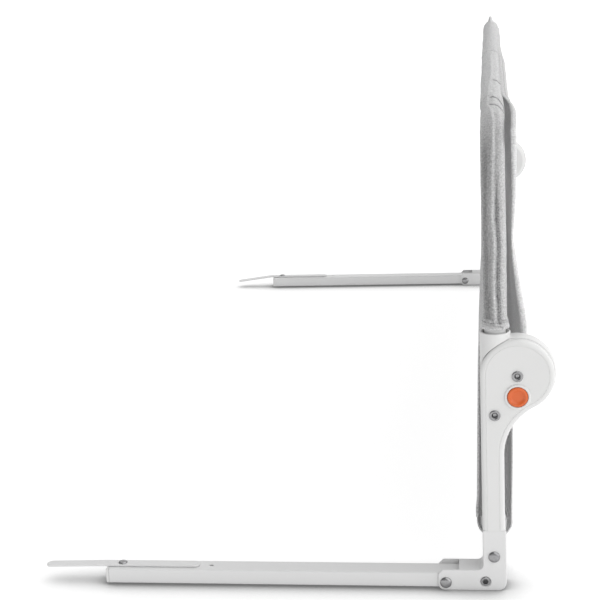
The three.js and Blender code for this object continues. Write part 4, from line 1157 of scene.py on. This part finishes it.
def sum_of(tree, *terms):
    """The sum of pairs of a weight and a value."""
    total = math_of(tree, "MULTIPLY", terms[0][1], terms[0][0])
    for weight, value in terms[1:]:
        total = math_of(tree, "ADD", total, math_of(tree, "MULTIPLY", value, weight))
    return total


def wave_of(tree, value, wavelength):
    """A sine over a value in metres."""
    return math_of(tree, "SINE", math_of(tree, "MULTIPLY", value, 2 * math.pi / (wavelength * MM)))


def range_of(tree, value, low, high, to_low=0, to_high=1):
    inputs = {"Value": value, "From Min": low, "From Max": high, "To Min": to_low, "To Max": to_high}
    return node_of(tree, "ShaderNodeMapRange", inputs).outputs["Result"]


def noise_of(tree, place, per_mm, detail, stretch=(1, 1, 1)):
    scale = tuple(per_mm / MM * s for s in stretch)
    mapped = node_of(tree, "ShaderNodeMapping", {"Vector": place, "Scale": scale}).outputs["Vector"]
    inputs = {"Vector": mapped, "Scale": 1.0, "Detail": detail, "Roughness": 0.55}
    return node_of(tree, "ShaderNodeTexNoise", inputs).outputs["Fac"]


def mix_of(tree, share, a, b, kind="RGBA"):
    inputs = {"Factor": share, "A": a, "B": b}
    return node_of(tree, "ShaderNodeMix", inputs, data_type=kind).outputs["Result"]


def bump_of(tree, height, depth, strength):
    inputs = {"Height": height, "Distance": depth * MM, "Strength": strength}
    return node_of(tree, "ShaderNodeBump", inputs).outputs["Normal"]


def coordinates_of(tree, kind, output, **settings):
    """A vector from a node, apart."""
    vector = node_of(tree, kind, **settings).outputs[output]
    return node_of(tree, "ShaderNodeSeparateXYZ", {"Vector": vector}).outputs


def attribute_of(tree, name, output="Fac"):
    return node_of(tree, "ShaderNodeAttribute", attribute_name=name).outputs[output]


def new_material(name):
    material = bpy.data.materials.new(name)
    material.use_nodes = True
    return material, material.node_tree, material.node_tree.nodes["Principled BSDF"]


def hard(name, dark, light, roughness, grain, depth, strength=0.6, clouds=(0.02, 3), smudges=(0.11, 4),
         metallic=0.0):
    """A hard surface: fine grain, with slight clouds of shade and gloss; a noise is its scale and detail."""
    material, tree, shader = new_material(name)
    place = node_of(tree, "ShaderNodeTexCoord").outputs["Object"]
    feed(tree, shader, {
        "Metallic": metallic,
        "Base Color": mix_of(tree, noise_of(tree, place, *clouds), (*dark, 1), (*light, 1)),
        "Roughness": range_of(tree, noise_of(tree, place, *smudges), 0.3, 0.7, *roughness),
        "Normal": bump_of(tree, noise_of(tree, place, *grain), depth, strength),
    })
    return material


def moulded(name, color, roughness, grain, depth):
    """A coated or moulded surface."""
    dark = [0.965 * c for c in color]
    return hard(name, dark, color, (roughness - 0.05, roughness + 0.07), (grain, 2), depth)


def plated(name):
    """Zinc-plated steel: bright, with fine turning marks and duller patches."""
    dark, light = (0.22, 0.22, 0.23), (0.46, 0.46, 0.46)
    patches = (0.35, 3)
    return hard(name, dark, light, (0.12, 0.26), (1.6, 3), 0.03, 0.5, patches, patches, metallic=1.0)


def sewn_marks(tree):
    """Where a stitch lies, and the pressed channel round its line, in which the cloth's colour is darkened
    with painted shade.
    """
    sewing = coordinates_of(tree, "ShaderNodeUVMap", "UV", uv_map="sewing")
    away = math_of(tree, "ABSOLUTE", sewing["X"])
    line = range_of(tree, away, STITCH_WIDTH * MM, 0.6 * STITCH_WIDTH * MM)
    lies = range_of(tree, wave_of(tree, sewing["Y"], STITCH_LENGTH), -0.55, -0.2)
    channel = range_of(tree, away, CHANNEL_REACH[0] * MM, CHANNEL_REACH[1] * MM)
    return math_of(tree, "MULTIPLY", line, lies), channel


def woven(name, shades, lit_shades):
    """Heather cloth: crossed threads, lighter and darker along their length, with stitches, painted shade in
    creases and round the stitches, and a paler copy for painted light.
    """
    material, tree, shader = new_material(name)
    cloth = coordinates_of(tree, "ShaderNodeUVMap", "UV", uv_map="cloth")
    weave = math_of(tree, "MULTIPLY", *[wave_of(tree, cloth[axis], 2 * THREAD) for axis in "XY"])
    rest = attribute_of(tree, "rest", "Vector")
    warp = noise_of(tree, rest, 1 / THREAD, 2, (1, 1, 0.2))
    weft = noise_of(tree, rest, 1 / THREAD, 2, (0.2, 0.2, 1))
    threads = mix_of(tree, range_of(tree, weave, -1, 1), warp, weft, "FLOAT")
    flecks = noise_of(tree, rest, 0.6, 3)
    stitch, channel = sewn_marks(tree)
    share = range_of(tree, sum_of(tree, (0.6, threads), (0.55, flecks)), 0.30, 0.78)
    # Painted shade: the creases' attribute and the pressed channel round the stitches darken the cloth
    share = sum_of(tree, (1, share), (-0.75, attribute_of(tree, "crease_shade")), (-0.4, stitch), (-0.12, channel))
    share = math_of(tree, "MAXIMUM", share, 0.0)
    # A paler copy of the cloth's tint is painted light, mixed in by the outer wall's attribute
    tints = [mix_of(tree, share, *[(*shade, 1) for shade in pair]) for pair in (shades, lit_shades)]
    ridges = math_of(tree, "ABSOLUTE", weave)
    relief = sum_of(tree, (1, ridges), (1.6, flecks), (1.5, stitch), (-2.2, channel))
    feed(tree, shader, {
        "Base Color": mix_of(tree, attribute_of(tree, "painted_light"), *tints),
        "Roughness": 0.92,
        "Sheen Weight": 0.2,
        "Sheen Roughness": 0.5,
        "Subsurface Weight": LIGHT_THROUGH,
        "Subsurface Radius": (1, 1, 1),
        "Subsurface Scale": LIGHT_REACH * MM,
        "Normal": bump_of(tree, relief, 0.22, 0.8),
    })
    return material


# Colour, roughness, and the grain's scale and depth
COATS = {
    "white_steel": ((0.74, 0.74, 0.74), 0.34, 0.5, 0.05),
    "white_plastic": ((0.75, 0.75, 0.745), 0.42, 1.4, 0.04),
    "grey_plastic": ((0.52, 0.52, 0.52), 0.48, 1.4, 0.04),
    "orange_plastic": ((0.72, 0.140, 0.032), 0.2, 1.4, 0.02),
}
GREYS = ((0.22, 0.22, 0.225), (0.76, 0.76, 0.76))
# A paler copy of the cloth's greys, for painted light
LIT_GREYS = ((0.42, 0.42, 0.425), (0.86, 0.86, 0.86))
MATERIALS = {name: moulded(name, *coat) for name, coat in COATS.items()}
MATERIALS["plated_steel"] = plated("plated_steel")
MATERIALS["grey_fabric"] = woven("grey_fabric", GREYS, LIT_GREYS)


# Placing
def finished(name, mesh, slot, body=None):
    """The object of a mesh, with its material and the body that it rides on."""
    thing = linked(name, mesh)
    mesh.materials.clear()
    mesh.materials.append(MATERIALS[slot])
    if body:
        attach(thing, body)
    return thing


def part_smooth(mesh):
    mesh.shade_smooth()
    mesh.set_sharp_from_angle(angle=SHARP_ANGLE)


def placed(mesh, node, side, body):
    """Puts a mesh drawn in end coordinates at one end, in place of its CAD node."""
    sign = SIGNS[side]
    mesh = mesh.copy()
    shift = Matrix.Translation((sign * END_X * MM, FACE_Y * MM, 0))
    mesh.transform(shift @ Matrix.Diagonal((-sign * MM, MM, MM, 1)))
    if sign > 0:
        mesh.flip_normals()
    part_smooth(mesh)
    thing = finished(f"{node}.fine", mesh, SLOTS[node], body)
    thing.modifiers.new("even shading", "WEIGHTED_NORMAL").keep_sharp = True
    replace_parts(thing, node)
    return thing


END_PIECES = {
    "outer_cover": (outer_cover(), "base"),
    "inner_cover": (inner_cover(), "base"),
    "hinge_drum": (hinge_drum(), "upper_rail"),
    "hinge_rivet": (hollow_rivet("hinge_rivet_left"), "base"),
    "cover_rivet": (hollow_rivet("cover_rivet_left"), "base"),
    "leg_rivet": (domed_rivet("leg_rivet_left"), "base"),
    "arm_rivet": (domed_rivet("arm_rivet_left"), "base"),
    "bracket_screw": (bracket_screw(), "base"),
    "corner_bracket": (corner_bracket(), "base"),
    "cross_socket": (cross_socket(), "base"),
    "release_button": (release_button(), "button"),
    "arm_tube": (arm_tube(), "arm"),
    "arm_plug": (arm_plug(), "arm"),
    "tongue_rivet": (tongue_rivet(), "arm"),
}


def make_ends():
    for side, sign in SIGNS.items():
        for name, (mesh, body) in END_PIECES.items():
            placed(mesh, f"{name}_{side}", side, body if body in frame["bodies"] else f"{body}_{side}")
        placed(tongue(side), f"tongue_{side}", side, f"tongue_{side}")
        spring = placed(button_spring(), f"button_spring_{side}", side, "base")
        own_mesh(spring)


def make_upper_tube():
    mesh = upper_tube()
    mesh.transform(Matrix.Translation((0, FACE_Y * MM, 0)) @ Matrix.Scale(MM, 4))
    part_smooth(mesh)
    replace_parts(finished("upper_tube.fine", mesh, "white_steel", "upper_rail"), "upper_tube")


def make_sleeve():
    mesh, length = sleeve()
    thing = finished("sleeve.cloth", mesh, "grey_fabric", "upper_rail")
    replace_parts(thing, "sleeve")


def make_wall(name, grid, lit_share, node):
    """One wall."""
    points, halves, sewing = grid
    # The weave follows the middle points and the thickness, as a fourth coordinate
    measured = np.dstack([points, halves])
    uv = np.stack([lengths_along(measured.transpose(1, 0, 2)).T, lengths_along(measured)], axis=2)
    # The outer wall's paler places are painted light
    mesh = cloth_mesh(points + [0, FACE_Y, 0], halves, uv, sewing, lit_share * outer_painted_light(points))
    thing = finished(name, mesh, "grey_fabric")
    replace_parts(thing, node, "lower_fabric")
    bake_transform(thing)


def dress_nodes():
    """Gives the CAD nodes that stay in sight their materials."""
    for name, node in frame["nodes"].items():
        if not node.material_slots:
            node.data.materials.append(MATERIALS[SLOTS[name]])
        node.material_slots[0].link = "OBJECT"
        node.material_slots[0].material = MATERIALS[SLOTS[name]]


# Camera, light and floor
SOFTBOX_EDGE = (math.cos(math.radians(53)), math.cos(math.radians(37)))
SOFTBOXES = (((-0.30, -0.66, 0.68), 1.3), ((0.60, -0.15, 0.78), 0.72), ((-1, 0.15, 0.12), 0.15))
ROOM_LIGHT = 0.19
HORIZON_LIGHT = 0.74
HORIZON_TOP = math.sin(math.radians(25))
FLOOR_REACH = 30.0
FLOOR_SHADE = 0.30
FLOOR_GLOW = 0.80
# Painted contact shadow on the floor: how far the occlusion reaches, the glow left in full shade, and the
# occlusion range it spans
CONTACT_REACH = 0.045
CONTACT_SHADE = 0.1
CONTACT_RANGE = (0.5, 0.99)


def make_camera():
    data = bpy.data.cameras.new("camera")
    data.lens = CAMERA_LENS
    data.sensor_width = CAMERA_SENSOR
    data.clip_start, data.clip_end = 0.01, 100
    camera = linked("camera", data)
    forward = CAMERA_FORWARD.normalized()
    right = forward.cross(CAMERA_UP).normalized()
    turn = Matrix((right, right.cross(forward), -forward)).transposed()
    camera.matrix_world = Matrix.Translation(CAMERA_PLACE) @ turn.to_4x4()
    bpy.context.scene.camera = camera


def make_light():
    """A dim room, paler at its horizon, with a main softbox, one beyond the rail and a faint one."""
    world = bpy.data.worlds.new("studio")
    world.use_nodes = True
    tree = world.node_tree
    height = coordinates_of(tree, "ShaderNodeTexCoord", "Generated")["Z"]
    light = range_of(tree, height, 0, HORIZON_TOP, HORIZON_LIGHT, ROOM_LIGHT)
    place = node_of(tree, "ShaderNodeTexCoord").outputs["Generated"]
    for direction, strength in SOFTBOXES:
        inputs = {0: place, 1: Vector(direction).normalized()}
        toward = node_of(tree, "ShaderNodeVectorMath", inputs, operation="DOT_PRODUCT").outputs["Value"]
        light = math_of(tree, "ADD", light, range_of(tree, toward, *SOFTBOX_EDGE, 0, strength))
    feed(tree, tree.nodes["Background"], {"Color": WHITE, "Strength": light})
    bpy.context.scene.world = world


def make_floor():
    """A pale floor that glows, with a painted contact shadow: ambient occlusion dims its glow beside what
    stands on it.
    """
    mesh = bpy.data.meshes.new("floor")
    corners = ((-1, -1), (1, -1), (1, 1), (-1, 1))
    mesh.from_pydata([(x * FLOOR_REACH, y * FLOOR_REACH, 0) for x, y in corners], [], [(0, 1, 2, 3)])
    material, tree, shader = new_material("floor")
    contact_shadow = node_of(tree, "ShaderNodeAmbientOcclusion", {"Distance": CONTACT_REACH}, samples=8)
    shadowed_glow = range_of(tree, contact_shadow.outputs["AO"], *CONTACT_RANGE, CONTACT_SHADE * FLOOR_GLOW, FLOOR_GLOW)
    feed(tree, shader, {
        "Base Color": (FLOOR_SHADE, FLOOR_SHADE, FLOOR_SHADE, 1),
        "Roughness": 0.9,
        "Emission Color": WHITE,
        "Emission Strength": shadowed_glow,
    })
    mesh.materials.append(material)
    linked("floor", mesh)


make_camera()
make_light()
make_floor()
dress_nodes()
make_ends()
make_upper_tube()
make_sleeve()
make_wall("outer_wall", outer_wall(), 1, "outer_panel")
make_wall("inner_wall", inner_wall(), 0, "inner_panel")

bpy.context.scene.view_settings.view_transform = "Standard"
